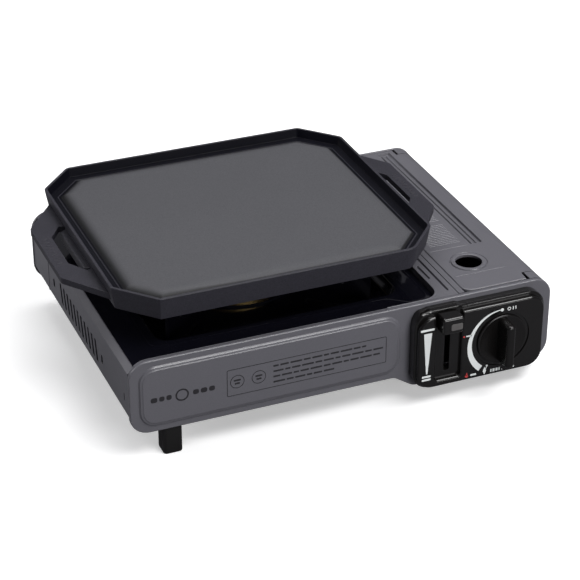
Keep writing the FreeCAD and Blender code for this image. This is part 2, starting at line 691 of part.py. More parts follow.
def shoulder_profile(body, left, right, low, start, length, inner_low):
    """A sheet that runs flat from the left, bends round the right shoulder and ends in a side wall."""
    profile = new_sketch(body, "XZ", start)
    add_polygon(profile, [(left, "body_top"), (right, "body_top"), (right, low), (right + " - wall", low),
                          (right + " - wall", "body_top - wall"), (left + " + wall", "body_top - wall"),
                          (left + " + wall", inner_low), (left, inner_low)])
    pad(profile, length)
    fillet(body, "corner", lambda e: line_along(e, "y") and at(e, "x", right) and at(e, "z", "body_top"))
    fillet(body, "corner - wall", lambda e: line_along(e, "y") and at(e, "x", right + " - wall") and
           at(e, "z", "body_top - wall"))


def make_canister_lid():
    body = new_body("canister_lid")
    shoulder_profile(body, "lid_left", "lid_right", "lid_low", "lid_front", "depth - 2 * lid_front",
                     "body_top - 4")
    for start in ("lid_front - 1", "depth - ear_depth"):
        notch = new_sketch(body, "XY", "lid_low - 5")
        add_rectangle(notch, "ear_left", "width + 5", start, start + " + ear_depth - lid_front + 1")
        cut(notch, "60")
    fillet(body, "lid_corner", lambda e: line_along(e, "z") and at(e, "x", "lid_left") and e.BoundBox.ZLength > 2)
    for start in ("ear_depth + 0.2", "depth - ear_depth - 0.2 - wall"):
        tab = new_sketch(body, "XZ", start)
        add_polygon(tab, [("hinge_x - 5", "hinge_z - 5"), ("hinge_x + 4.4", "hinge_z - 4.6"),
                          ("lid_right - wall / 2", "lid_low + 1"), ("lid_right - wall / 2", "hinge_z + 9"),
                          ("hinge_x - 5", "hinge_z + 5")])
        pad(tab, "wall")
    hole = new_sketch(body, "XZ", "0")
    add_circle(hole, "hinge_x", "hinge_z", "hinge_pin + running")
    cut(hole, "depth")
    trough = new_sketch(body, "XY", "body_top - wall - channel_depth")
    add_rounded(trough, "channel_left - wall", "channel_right + wall", "channel_front - wall",
                "channel_back + wall", "3")
    pad(trough, "channel_depth")
    channel = new_sketch(body, "XY", "body_top")
    add_rounded(channel, "channel_left", "channel_right", "channel_front", "channel_back", "2")
    cut(channel, "channel_depth", up=False)
    for middle in ("channel_left + 4", "channel_right - 4"):
        ridge = new_sketch(body, "XY", "body_top - channel_depth")
        add_rectangle(ridge, middle + " - 0.5", middle + " + 0.5", "channel_front + 3", "channel_back - 3")
        pad(ridge, "channel_depth * 0.7")
    ring = new_sketch(body, "XY", "body_top")
    add_circle(ring, "lid_hole_x", "lid_hole_y", "lid_ring")
    add_circle(ring, "lid_hole_x", "lid_hole_y", "lid_ring - 1.6")
    pad(ring, "0.6")
    finger = new_sketch(body, "XY", "body_top - 5")
    add_circle(finger, "lid_hole_x", "lid_hole_y", "lid_hole")
    cut(finger, "10")


def make_hinge_ear(label, start, plate):
    """A short shoulder beside the lid, with the plate that holds a hinge pin."""
    body = new_body(label)
    left = "ear_left + ear_gap"
    profile = new_sketch(body, "XZ", start)
    add_polygon(profile, [(left, "body_top"), ("lid_right", "body_top"), ("lid_right", "bay_wall_top + 0.3"),
                          ("lid_right - wall", "bay_wall_top + 0.3"), ("lid_right - wall", "body_top - wall"),
                          (left, "body_top - wall")])
    pad(profile, "ear_depth - 0.4 - lip - gap")
    fillet(body, "corner", lambda e: line_along(e, "y") and at(e, "x", "lid_right") and at(e, "z", "body_top"))
    fillet(body, "corner - wall", lambda e: line_along(e, "y") and at(e, "x", "lid_right - wall") and
           at(e, "z", "body_top - wall"))
    web = new_sketch(body, "XZ", plate)
    add_polygon(web, [(left, "body_top - wall / 2"), ("lid_right - corner", "body_top - wall / 2"),
                      ("lid_right - wall / 2", "body_top - corner"), ("lid_right - wall / 2", "bay_wall_top + 0.3"),
                      ("hinge_x - 6", "bay_wall_top + 0.3"), (left, "body_top - corner")])
    pad(web, "wall")
    hole = new_sketch(body, "XZ", "0")
    add_circle(hole, "hinge_x", "hinge_z", "hinge_pin")
    cut(hole, "depth")


def make_hinge_pins():
    length = "5"
    front = rod("y", "hinge_x", "ear_depth - 0.4 - wall", "hinge_z", "hinge_pin", length)
    back = rod("y", "hinge_x", "depth - ear_depth + 0.4 + wall - 5", "hinge_z", "hinge_pin", length)
    finish(fuse(front, back), "lid_hinge_pins")


# ---------------------------------------------------------------- control panel, knob and lock lever

def make_control_panel():
    body = new_body("control_panel")
    base = new_sketch(body, "XZ", "0")
    add_rounded(base, "fascia_left", "fascia_right", "fascia_low", "fascia_top", "fascia_corner")
    pad(base, "fascia_step", up=False)
    fillet(body, "1.5", lambda e: at(e, "y", "-fascia_step"))
    face = new_sketch(body, "XZ", "1 - fascia_step")
    add_rounded(face, "fascia_left + fascia_inset", "fascia_right - fascia_inset", "fascia_low + fascia_inset",
                "fascia_top - fascia_inset - 1", "fascia_corner - fascia_inset")
    pad(face, "fascia_face - fascia_step + 1", up=False)
    fillet(body, "1.3", lambda e: at(e, "y", "-fascia_face"))
    hollow = new_sketch(body, "XZ", "0")
    add_rounded(hollow, "fascia_left + fascia_wall + 1", "fascia_right - fascia_wall - 1",
                "fascia_low + fascia_wall + 1", "fascia_top - fascia_wall - 2", "fascia_corner - fascia_wall - 1")
    cut(hollow, "fascia_face - channel_deep - fascia_wall - 0.5", up=False)
    dial = new_sketch(body, "XZ", "-fascia_face - 1")
    add_circle(dial, "knob_x", "knob_z", "dial_recess")
    cut(dial, "1 + dial_depth")
    channel = new_sketch(body, "XZ", "-fascia_face - 1")
    add_rectangle(channel, "channel_start", "channel_end", "channel_low", "fascia_top + 2")
    cut(channel, "1 + channel_deep")
    through = new_sketch(body, "XZ", "-fascia_face - 1")
    add_circle(through, "knob_x", "knob_z", "spindle + 2")
    add_rectangle(through, "lever_x - lever_slot / 2", "lever_x + lever_slot / 2", "slot_bottom", "slot_top")
    cut(through, "channel_deep + fascia_wall + 2")


def make_knob():
    body = new_body("knob")
    disc = new_sketch(body, "XZ", "-fascia_face + dial_depth - knob_room")
    add_circle(disc, "knob_x", "knob_z", "knob_radius")
    pad(disc, "knob_disc - fascia_face + dial_depth - knob_room", up=False)
    fillet(body, "0.6", lambda e: at(e, "y", "-knob_disc"))
    grip = new_sketch(body, "XZ", "-knob_disc")
    add_rounded(grip, "knob_x - grip_width / 2", "knob_x + grip_width / 2", "knob_z - knob_radius + 1.6",
                "knob_z + knob_radius - 1.6", "grip_width / 2 - 0.4")
    pad(grip, "knob_front - knob_disc", up=False)
    fillet(body, "2", lambda e: at(e, "y", "-knob_front"))
    bore = new_sketch(body, "XZ", "-knob_front + 5")
    add_circle(bore, "knob_x", "knob_z", "spindle")
    cut(bore, "knob_front")


def make_spindle():
    """The valve spindle with the cam that fires the igniter."""
    start = "-knob_front + 5.2"
    shaft = rod("y", "knob_x", start, "knob_z", "spindle", "knob_front - 5.2 + regulator_front + 9")
    flat = block("knob_x - spindle", "knob_x + spindle", start, start + " + 12", "knob_z + spindle * 0.6",
                 "knob_z + 2 * spindle")
    finish(take(shaft, flat), "valve_spindle")
    hub = rod("y", "knob_x", "6", "knob_z", "spindle + 3.5", "4")
    lobe = block("knob_x - 2", "knob_x + 2", "6", "10", "knob_z", "knob_z + 11")
    bore = rod("y", "knob_x", "5", "knob_z", "spindle", "6")
    finish(take(fuse(hub, lobe), bore), "igniter_cam")


def make_lock_lever():
    body = new_body("lock_lever")
    side = new_sketch(body, "YZ", "cap_left")
    rest = "-(fascia_face - channel_deep + 0.4)"
    add_polygon(side, [(rest, "cap_low + 2"), ("-cap_front + 1.5", "cap_low"), ("-cap_front", "cap_low + 1.5"),
                       ("-cap_front", "cap_low + cap_nose"), ("-cap_front + cap_lean", "cap_top - 2.5"),
                       ("-cap_front + cap_lean + 2", "cap_top"), (rest, "cap_top")])
    pad(side, "cap_right - cap_left")
    fillet(body, "1", lambda e: at(e, "x", "cap_left") or at(e, "x", "cap_right"))
    stem = new_sketch(body, "XZ", "-fascia_face - 1.5")
    add_rectangle(stem, "lever_x - lever_slot / 2 + 0.3", "lever_x + lever_slot / 2 - 0.3", "stem_low", "stem_high")
    pad(stem, "fascia_face + 1.5 + lip + 2")


def make_lever_arm():
    """Bent plate behind the front panel: its sloping slot drives the carriage pin."""
    front = "lip + 2"
    body = new_body("lever_arm")
    across = new_sketch(body, "XZ", front)
    add_rectangle(across, "lever_x - 3", "arm_x + arm_sheet", "stem_low - 14", "stem_high + 2")
    pad(across, "arm_sheet")
    plate = new_sketch(body, "YZ", "arm_x")
    add_polygon(plate, [(front, "stem_low - 14"), ("arm_back - 12", "arm_low"), ("arm_back", "arm_low"),
                        ("arm_back", "arm_low + 14"), ("arm_back - 8", "arm_top"), ("tray_front + 3", "arm_top"),
                        ("tray_front + 3", "stem_high + 2"), (front, "stem_high + 2")])
    pad(plate, "arm_sheet")
    slot = new_sketch(body, "YZ", "arm_x - 1")
    slope_y = "carriage_travel / lever_travel"
    reach = "(cam_pin + cam_room)"
    low_z = "cam_pin_z - 2"
    high_z = "cam_pin_z + lever_travel + 2"
    widen = reach + " * sqrt(1 + (%s) * (%s))" % (slope_y, slope_y)
    low_y = "cam_pin_y + 2 * %s" % slope_y
    high_y = "cam_pin_y - (lever_travel + 2) * %s" % slope_y
    add_polygon(slot, [(low_y + " - " + widen, low_z), (low_y + " + " + widen, low_z),
                       (high_y + " + " + widen, high_z), (high_y + " - " + widen, high_z)])
    cut(slot, "arm_sheet + 2")


def make_carriage():
    """Bed, rear pusher and pinned side arm that push the canister on to the regulator."""
    left, right = "canister_x - bed_half", "canister_x + bed_half"
    low, high = "bay_low + wall + bed_low", "bay_low + wall + bed_low + bed_sheet"
    arm_left, arm_right = "frame_right - 1.7 - bed_sheet", "frame_right - 1.7"
    arm_back = "bed_front + arm_reach"
    bed = block(left, right, "bed_front", "depth - bed_back", low, high)
    pusher = block(left, right, "depth - bed_back - bed_sheet", "depth - bed_back", low, "pusher_top")
    link = block(arm_right, left + " + 0.5", "bed_front", arm_back, low, high)
    arm_low = block(arm_left, arm_right, "bed_front", arm_back, low, "cam_pin_z + 4")
    arm = block(arm_left, arm_right, "cam_pin_y - 4", arm_back, "cam_pin_z - 6", "cam_pin_z + 4")
    pin = rod("x", "arm_x - 1", "cam_pin_y", "cam_pin_z", "cam_pin", "frame_right - 2.2 - arm_x + 1")
    finish(fuse(bed, pusher, link, arm_low, arm, pin), "canister_carriage")
    rails = []
    for side in ("canister_x - bed_half - 2", "canister_x + bed_half + 1"):
        rails.append(block(side, side + " + bed_sheet", "rail_front", "depth - 8", "bay_low + wall", "rail_top"))
    finish(fuse(*rails), "canister_rails")


# ---------------------------------------------------------------- gas parts and burner

def make_regulator():
    drum = rod("y", "canister_x", "regulator_front + 6", "canister_z", "regulator_radius",
               "regulator_back - regulator_front - 6")
    head = block("knob_x - 10", "knob_x + 22", "regulator_front", "regulator_front + 10", "knob_z - 11",
                 "knob_z + 15")
    outlet = rod("x", "canister_x - 24", "pipe_y", "pipe_z", "5", "14")
    socket = rod("y", "canister_x", "regulator_back - socket_depth", "canister_z", "socket", "socket_depth + 5")
    valve = rod("y", "canister_x", "regulator_back - socket_depth - 6", "canister_z", "4.5", "7")
    shaft = rod("y", "knob_x", "regulator_front - 1", "knob_z", "spindle + running", "11")
    drills = []
    for x, z in regulator_screw_places():
        drills.append(rod("y", x, "regulator_front - 1", z, "screw + screw_room", "8"))
    finish(take(fuse(drum, head, outlet), socket, valve, shaft, *drills), "regulator_body")
    nozzle = rod("y", "canister_x", "regulator_back - socket_depth - 6", "canister_z", "1.5", "6")
    passage = rod("y", "canister_x", "regulator_back - socket_depth - 4", "canister_z", "0.5", "6")
    finish(take(nozzle, passage), "valve_nozzle")


def regulator_screw_places():
    return [("knob_x + 17", "knob_z - 6"), ("knob_x + 17", "knob_z + 10")]


def make_regulator_bracket():
    plate = block("knob_x - 14", "knob_x + 26", "regulator_front - wall - 0.4", "regulator_front - 0.4",
                  "bay_low + wall", "knob_z + 17")
    foot = block("knob_x - 14", "knob_x + 26", "regulator_front - wall - 0.4", "regulator_front + 6",
                 "bay_low + wall", "bay_low + 2 * wall")
    hole = rod("y", "knob_x", "regulator_front - 5", "knob_z", "spindle + 1.5", "8")
    drills = []
    heads = []
    for x, z in regulator_screw_places():
        drills.append(rod("y", x, "regulator_front - 5", z, "screw + screw_room", "8"))
        heads.append(rod("y", x, "regulator_front - wall - 0.4 - 1.8", z, "screw_head", "1.8"))
        heads.append(rod("y", x, "regulator_front - wall - 0.4 - 1.8", z, "screw", "wall + 0.4 + 1.8 + 5"))
    finish(take(fuse(plate, foot), hole, *drills), "regulator_bracket")
    finish(fuse(*heads), "regulator_screws")


def make_igniter():
    barrel = rod("x", "igniter_left", "igniter_y", "igniter_z", "4", "14")
    tip = rod("x", "igniter_left + 13", "igniter_y", "igniter_z", "2", "5")
    finish(fuse(barrel, tip), "piezo_igniter")
    left, right = "igniter_left + 3", "igniter_left + 10"
    clip = block(left, right, "lip + 1", "igniter_y + 4.5", "igniter_z + 5", "igniter_z + 6")
    leg = block(left, right, "lip + 0.3", "lip + 1.3", "igniter_z - 8", "igniter_z + 6")
    finish(fuse(clip, leg), "igniter_clip")


def burner_ray(distance):
    """A point on the mixing tube's axis, at a distance from the burner axis."""
    turn = "atan((burner_y - pipe_y - aim_behind) / aim_across)"
    return ("burner_x + (%s) * cos(%s)" % (distance, turn), "burner_y - (%s) * sin(%s)" % (distance, turn))


def ray_rod(start, radius, length):
    """A cylinder on the mixing tube's axis."""
    x, y = burner_ray(start)
    item = doc.addObject("Part::Cylinder", "ray_rod")
    turn = math.degrees(math.atan(size("(burner_y - pipe_y - aim_behind) / aim_across")))
    lay_down = FreeCAD.Rotation(FreeCAD.Vector(0, 1, 0), 90)
    swing = FreeCAD.Rotation(FreeCAD.Vector(0, 0, 1), -turn)
    item.Placement = FreeCAD.Placement(FreeCAD.Vector(), swing.multiply(lay_down))
    tie(item, Radius=radius, Height=length)
    return set_place(item, x, y, "tube_z")


def make_burner():
    bowl = rod("z", "burner_x", "burner_y", "burner_low", "burner_radius", "burner_rim - burner_low")
    tube = ray_rod("burner_radius - 6", "tube_radius", "tube_end - burner_radius + 6")
    hollow = rod("z", "burner_x", "burner_y", "burner_low + burner_wall", "burner_radius - burner_wall",
                 "burner_rim - burner_low")
    bore = ray_rod("burner_radius - 8", "tube_radius - 1.5", "tube_end - burner_radius + 20")
    finish(take(fuse(bowl, tube), hollow, bore), "burner_bowl")

    cap = new_body("burner_cap")
    skirt = new_sketch(cap, "XY", "burner_rim + 0.2")
    add_circle(skirt, "burner_x", "burner_y", "cap_radius")
    pad(skirt, "cap_rise")
    fillet(cap, "2", lambda e: at(e, "z", "burner_rim + 0.2 + cap_rise"))
    dish = new_sketch(cap, "XY", "burner_rim + 0.2")
    add_circle(dish, "burner_x", "burner_y", "cap_radius - 5")
    cut(dish, "cap_rise - 2")
    centre = new_sketch(cap, "XY", "burner_rim")
    add_circle(centre, "burner_x", "burner_y", "9")
    cut(centre, "cap_rise + 5")
    for step in range(int(size("flame_ports"))):
        angle = step * 360.0 / size("flame_ports")
        port = new_sketch(cap, "XY", "burner_rim + 0.2")
        middle_x = "burner_x + (cap_radius - 2) * cos(%f)" % angle
        middle_y = "burner_y + (cap_radius - 2) * sin(%f)" % angle
        add_circle(port, middle_x, middle_y, "1.2")
        cut(port, "2.2")

    leg_low, leg_high = "body_low + wall", "burner_low"
    strap = block("burner_x - 24", "burner_x + 24", "burner_y - 8", "burner_y + 8", leg_low, leg_low + " + 1")
    left = block("burner_x - 24", "burner_x - 23", "burner_y - 8", "burner_y + 8", leg_low, leg_high)
    right = block("burner_x + 23", "burner_x + 24", "burner_y - 8", "burner_y + 8", leg_low, leg_high)
    finish(fuse(strap, left, right), "burner_bracket")


def make_jet():
    jet = ray_rod("tube_end + 3", "3.5", "12")
    orifice = ray_rod("tube_end + 2", "0.6", "6")
    finish(take(jet, orifice), "gas_jet")
    x, y = burner_ray("tube_end + 9")
    plate = block(x + " - 7", x + " + 4", y + " - 1", y + " + 1", "body_low + wall", "tube_z + 8")
    clear = ray_rod("tube_end - 10", "3.7", "50")
    finish(take(plate, clear), "jet_bracket")


def rounded_path(points, share=0.45):
    """Straight runs joined by tangent arcs: each radius follows from its two runs and its turn."""
    edges = []
    start = points[0]
    for i in range(1, len(points) - 1):
        before, here, after = points[i - 1], points[i], points[i + 1]
        run_in = here - before
        run_out = after - here
        shorter = min(run_in.Length, run_out.Length) * share
        first = here - FreeCAD.Vector(run_in).normalize() * shorter
        last = here + FreeCAD.Vector(run_out).normalize() * shorter
        half_turn = run_in.getAngle(run_out) / 2
        radius = shorter / math.tan(half_turn)
        middle_way = (first + last) * 0.5 - here
        bisector = FreeCAD.Vector(middle_way).normalize()
        middle = here + bisector * (radius / math.cos(half_turn) - radius)
        edges.append(Part.LineSegment(start, first).toShape())
        edges.append(Part.Arc(first, middle, last).toShape())
        start = last
    edges.append(Part.LineSegment(start, points[-1]).toShape())
    return Part.Wire(edges)


def make_tube(label, points, radius):
    """A round tube along a path, as one feature that reads its sizes from the sheet."""
    path = rounded_path(points)
    run = path.Edges[0]
    ring = Part.Circle(run.valueAt(run.FirstParameter), run.tangentAt(run.FirstParameter), radius)
    shape = path.makePipeShell([Part.Wire([ring.toShape()])], True, False)
    expected = math.pi * radius ** 2 * path.Length
    if abs(shape.Volume - expected) > 0.02 * expected:
        raise RuntimeError("the tube %s has the wrong volume" % label)
    item = doc.addObject("Part::Feature", label)
    item.Shape = shape
    finish(item, label)


def make_lines():
    jet_x, jet_y = (size(text) for text in burner_ray("tube_end + 15.2"))
    near_x, near_y = (size(text) for text in burner_ray("tube_end + 32"))
    pipe_y, pipe_z, tube_z = size("pipe_y"), size("pipe_z"), size("tube_z")
    outlet_x = size("canister_x") - 24.2
    pipe_points = [FreeCAD.Vector(outlet_x, pipe_y, pipe_z), FreeCAD.Vector(outlet_x - 24, pipe_y, pipe_z),
                   FreeCAD.Vector(near_x, near_y, tube_z), FreeCAD.Vector(jet_x, jet_y, tube_z)]
    make_tube("gas_pipe", pipe_points, size("pipe"))
    spark_x, spark_y = (size(text) for text in electrode_place())
    start = FreeCAD.Vector(size("igniter_left") - 0.5, size("igniter_y"), size("igniter_z"))
    wall_hole = FreeCAD.Vector(size("seam_x") + 0.6, size("wire_y"), size("wire_z"))
    spark = FreeCAD.Vector(spark_x, spark_y, size("ceramic_low") - 0.2)
    wire_points = [start, start + FreeCAD.Vector(-8.5, 1.5, 0), wall_hole + FreeCAD.Vector(4.6, -9, 1),
                   wall_hole + FreeCAD.Vector(-4.6, 9, -1), wall_hole + FreeCAD.Vector(-22, 24, -19),
                   spark + FreeCAD.Vector(50, -21, -20), spark + FreeCAD.Vector(10, -5, -22),
                   spark + FreeCAD.Vector(0, 0, -12), spark]
    make_tube("ignition_wire", wire_points, size("wire"))


def electrode_place():
    return ("burner_x + 18", "burner_y - 32.5")


def make_electrode():
    x, y = electrode_place()
    ceramic = rod("z", x, y, "ceramic_low", "ceramic", "ceramic_length")
    tip = rod("z", x, y, "ceramic_low + ceramic_length - 0.2", "spark_pin", "4.5")
    finish(fuse(ceramic, tip), "ignition_electrode")
    plate = block(x + " - 4", x + " + 4", y + " - 3.5", y + " + 9", "holder_z", "holder_z + 1")
    clear = rod("z", x, y, "holder_z - 2", "ceramic + 0.1", "6")
    against = rod("z", "burner_x", "burner_y", "holder_z - 2", "burner_radius + 0.02", "6")
    finish(take(plate, clear, against), "electrode_holder")


# ---------------------------------------------------------------- pan support, griddle, feet

def make_pan_support():
    low = "well_floor + seat_gap"
    outer = rod("z", "burner_x", "burner_y", low, "support_ring", "support_sheet")
    inner = rod("z", "burner_x", "burner_y", "well_floor", "support_ring - support_band", "8")
    ring = take(outer, inner)
    fins = [ring]
    for corner in range(4):
        fin = doc.addObject("PartDesign::Body", "fin")
        turn = FreeCAD.Rotation(FreeCAD.Vector(0, 0, 1), 45 + 90 * corner)
        fin.Placement = FreeCAD.Placement(FreeCAD.Vector(), turn)
        set_place(fin, "burner_x", "burner_y", "0")
        side = new_sketch(fin, "XZ", "-support_sheet / 2")
        add_polygon(side, [("support_ring - support_band", low), ("fin_reach", low), ("fin_reach", "fin_edge"),
                           ("fin_reach - 17", "hollow_top - seat_gap"),
                           ("support_ring + 2", "hollow_top - seat_gap"),
                           ("support_ring - support_band", "fin_edge - 8")])
        pad(side, "support_sheet")
        fins.append(fin)
    finish(fuse(*fins), "pan_support")


def octagon(half_x, half_y, inset):
    """The griddle's outline, moved in from the rim's outside."""
    x = "(%s - (%s))" % (half_x, inset)
    y = "(%s - (%s))" % (half_y, inset)
    spare = "(chamfer_x + chamfer_y - sqrt(chamfer_x * chamfer_x + chamfer_y * chamfer_y))"
    cut_x = "(chamfer_x - (%s) * %s / chamfer_y)" % (inset, spare)
    cut_y = "(chamfer_y - (%s) * %s / chamfer_x)" % (inset, spare)
    points = []
    for sign_x, sign_y, first in ((1, 1, "y"), (-1, 1, "x"), (-1, -1, "y"), (1, -1, "x")):
        near_y = ("griddle_x + %d * %s" % (sign_x, x), "griddle_y + %d * (%s - %s)" % (sign_y, y, cut_y))
        near_x = ("griddle_x + %d * (%s - %s)" % (sign_x, x, cut_x), "griddle_y + %d * %s" % (sign_y, y))
        points += [near_y, near_x] if first == "y" else [near_x, near_y]
    return points


def loft(body, low, low_inset, high, high_inset):
    lower = add_polygon(new_sketch(body, "XY", low), octagon("griddle_half_x", "griddle_half_y", low_inset))
    upper = add_polygon(new_sketch(body, "XY", high), octagon("griddle_half_x", "griddle_half_y", high_inset))
    before = volume(body) if body.Tip else 0
    feature = body.newObject("PartDesign::AdditiveLoft", body.Label + "_loft")
    feature.Profile = lower
    feature.Sections = [upper]
    feature.Ruled = True
    if volume(body) <= before:
        raise RuntimeError("a loft of %s adds nothing" % body.Label)
    return feature


def make_griddle():
    body = new_body("griddle_plate")
    outside = new_sketch(body, "XY", "griddle_top")
    add_polygon(outside, octagon("griddle_half_x", "griddle_half_y", "0"))
    pad(outside, "griddle_top - griddle_low", up=False, taper="-atan(draft / (griddle_top - griddle_low))")
    fillet(body, "corner_out", lambda e: e.BoundBox.ZLength > 5)
    dish = new_sketch(body, "XY", "griddle_top + 1")
    add_polygon(dish, octagon("griddle_half_x", "griddle_half_y", "rim"))
    cut(dish, "griddle_top + 1 - moat_floor", up=False)
    fillet(body, "corner_in", lambda e: e.BoundBox.ZLength > 5 and e.BoundBox.ZMin > size("moat_floor") - 0.1)
    loft(body, "moat_floor", "moat_outer", "cooking_face", "face_inset")
    under = new_sketch(body, "XY", "griddle_low - 1")
    add_polygon(under, octagon("griddle_half_x", "griddle_half_y", "draft + skirt"))
    cut(under, "hollow_top - griddle_low + 1")
    for side in (-1, 1):
        def x(text):
            return "griddle_x + %d * (%s)" % (side, text)

        def y(text):
            return "griddle_y + (%s)" % text

        handle = new_sketch(body, "XY", "handle_top - handle_thick")
        root = "griddle_half_x - draft - 1"
        add_polygon(handle, [(x(root), y("-handle_root")), (x("handle_reach"), y("-handle_tip")),
                             (x("handle_reach"), y("handle_tip")), (x(root), y("handle_root"))])
        pad(handle, "handle_thick")
        grip = new_sketch(body, "XY", "handle_top - handle_thick - 2")
        add_polygon(grip, [(x("grip_inner"), y("-grip_wide + 3")), (x("grip_mid"), y("-grip_wide")),
                           (x("grip_outer"), y("-grip_half")), (x("grip_outer"), y("grip_half")),
                           (x("grip_mid"), y("grip_wide")), (x("grip_inner"), y("grip_wide - 3"))])
        cut(grip, "handle_thick + 4")


def make_feet():
    """Four moulded feet, each with a blind hole for its screw."""
    left_top, right_top = "body_low", "bay_low"
    feet = []
    screws = []
    for i, (x, y) in enumerate(foot_middles()):
        top = left_top if i < 2 else right_top
        foot = doc.addObject("PartDesign::Body", "foot")
        outline = new_sketch(foot, "XY", "0")
        add_rounded(outline, "%s - foot_width / 2" % x, "%s + foot_width / 2" % x, "%s - foot_depth / 2" % y,
                    "%s + foot_depth / 2" % y, "foot_round")
        pad(outline, top)
        fillet(foot, "1", lambda e: at(e, "z", "0"))
        hole = new_sketch(foot, "XY", top + " + 1")
        add_circle(hole, x, y, "screw + screw_room")
        cut(hole, "9", up=False)
        feet.append(foot)
        screws.append(rod("z", x, y, top + " - 7", "screw", "8 + wall"))
        screws.append(rod("z", x, y, top + " + wall", "screw_head", "2"))
    finish(fuse(*feet), "feet")
    finish(fuse(*screws), "foot_screws")


# ---------------------------------------------------------------- build and write

def build():
    make_front_panel()
    make_rear_panel()
    make_body_shell()
    make_top_deck()
    make_drip_tray()
    make_bay_frame()
    make_canister_lid()
    make_hinge_ear("front_hinge_ear", "lip + gap", "ear_depth - 0.4 - wall")
    make_hinge_ear("rear_hinge_ear", "depth - ear_depth + 0.4", "depth - ear_depth + 0.4")
    make_hinge_pins()
    make_control_panel()
    make_knob()
    make_spindle()
    make_lock_lever()
    make_lever_arm()
    make_carriage()
    make_regulator()
    make_regulator_bracket()
    make_igniter()
    make_burner()
    make_jet()
    make_lines()
    make_electrode()
    make_pan_support()
    make_griddle()
    make_feet()
    doc.recompute()


def check():
    for item in doc.Objects:
        if "Invalid" in item.State or "Error" in item.State:
            raise RuntimeError("%s (%s) failed: %s" % (item.Name, item.Label, item.State))
    for item in PIECES:
        if item.Shape.isNull() or not item.Shape.isValid() or not item.Shape.Solids:
            raise RuntimeError("the shape of %s isn't valid" % item.Label)


def write():
    os.makedirs("parts", exist_ok=True)
    for item in PIECES:
        item.Shape.exportStep("parts/%s.step" % item.Label)


build()
check()
write()
print(len(PIECES), "pieces written")
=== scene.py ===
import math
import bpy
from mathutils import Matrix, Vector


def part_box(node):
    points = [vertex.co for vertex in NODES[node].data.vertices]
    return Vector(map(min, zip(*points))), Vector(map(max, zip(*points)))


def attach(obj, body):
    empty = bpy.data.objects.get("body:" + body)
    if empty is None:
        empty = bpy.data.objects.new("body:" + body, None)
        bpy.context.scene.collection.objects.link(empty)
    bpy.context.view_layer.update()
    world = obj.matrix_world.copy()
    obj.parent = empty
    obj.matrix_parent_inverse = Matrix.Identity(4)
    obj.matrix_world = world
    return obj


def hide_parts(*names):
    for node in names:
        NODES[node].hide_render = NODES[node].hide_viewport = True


bl_info = {
    "name": "Camping Stove with Griddle Plate",
    "version": (1, 0, 0),
    "blender": (4, 5, 0),
    "location": "View3D > Sidebar > Stove",
    "description": "Makes the visible pieces of a portable butane stove around its CAD frame",
    "category": "Object",
}

import bmesh
import bpy
from mathutils import Matrix, Vector

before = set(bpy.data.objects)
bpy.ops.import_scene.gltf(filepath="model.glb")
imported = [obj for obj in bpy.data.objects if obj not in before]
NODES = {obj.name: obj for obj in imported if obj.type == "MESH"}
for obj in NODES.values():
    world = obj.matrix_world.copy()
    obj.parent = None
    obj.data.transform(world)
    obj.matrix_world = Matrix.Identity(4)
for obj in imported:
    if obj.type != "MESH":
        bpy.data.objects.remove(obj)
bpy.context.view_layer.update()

# The makers work in millimetres: X from the front panel's left edge, Y from its front face to the back,
# Z up from the table. Every finished mesh is then brought to the frame, in metres.
BODY_DEPTH = 256.0
CORNER = Vector((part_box("front_panel")[0].x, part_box("rear_panel")[1].y - BODY_DEPTH * 0.001, 0))
TO_FRAME = Matrix.Translation(CORNER) @ Matrix.Scale(0.001, 4)
AXES = {"x": 0, "y": 1, "z": 2}
LEFT, RIGHT, FRONT, BACK, DOWN, UP = (Vector(way) for way in (
    (-1, 0, 0), (1, 0, 0), (0, -1, 0), (0, 1, 0), (0, 0, -1), (0, 0, 1)))


def span(node):
    """Lowest and highest corner of a CAD node, in the makers' millimetres."""
    back = TO_FRAME.inverted()
    low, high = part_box(node)
    return back @ low, back @ high


# ---------------------------------------------------------------- sizes and colours

def length(name, text, value):
    return bpy.props.FloatProperty(name=name, description=text, default=value, min=0, unit="LENGTH", precision=5)


def colour(name, text, value):
    return bpy.props.FloatVectorProperty(name=name, description=text, default=value, size=3, min=0, max=1,
                                         subtype="COLOR")


class STOVE_PG_sizes(bpy.types.PropertyGroup):
    sheet: length("Sheet", "Thickness of the body's steel sheet", 0.0006)
    panel_wall: length("Panel wall", "Thickness of the front and rear panels", 0.0012)
    panel_corner: length("Panel corner", "Corner radius of the panels", 0.015)
    panel_round: length("Panel edge", "Rounding of the panels' outer edge", 0.0026)
    tray_sheet: length("Tray sheet", "Thickness of the enamelled tray", 0.0008)
    rim: length("Griddle rim", "Width of the griddle's rim", 0.0024)
    rim_round: length("Griddle edge", "Rounding of the griddle's edges", 0.0006)
    grip_width: length("Grip", "Width of the knob's grip bar", 0.008)
    print_height: length("Print", "How far a printed mark stands out", 0.00012)


class STOVE_PG_colours(bpy.types.PropertyGroup):
    paint: colour("Paint", "Powder coat of the body", (0.115, 0.113, 0.128))
    # Real enamel tone of the tray and pan support; on the griddle's moat the same tone is painted shade.
    enamel_and_moat_shade: colour("Enamel", "Enamel of the tray and the pan support", (0.004, 0.004, 0.007))
    plate: colour("Cooking face", "Speckled coat of the cooking face", (0.064, 0.064, 0.071))
    coat: colour("Griddle coat", "Coat of the griddle's walls and handles", (0.024, 0.023, 0.031))
    plastic: colour("Plastic", "Moulded control panel, knob, lever and feet", (0.0055, 0.005, 0.0048))
    # Painted reflection: a light grey standing in for light reflected by the lever cap's lower front.
    pad: colour("Lever pad", "Thumb pad of the lever", (0.10, 0.095, 0.093))
    white: colour("White print", "White marks of the control panel", (0.80, 0.83, 0.82))
    red: colour("Red print", "Red marks of the control panel", (0.55, 0.05, 0.05))
    ink: colour("Dark print", "Dark marks of the front panel", (0.016, 0.015, 0.018))
    floor: colour("Floor", "Pale studio floor", (0.86, 0.86, 0.86))


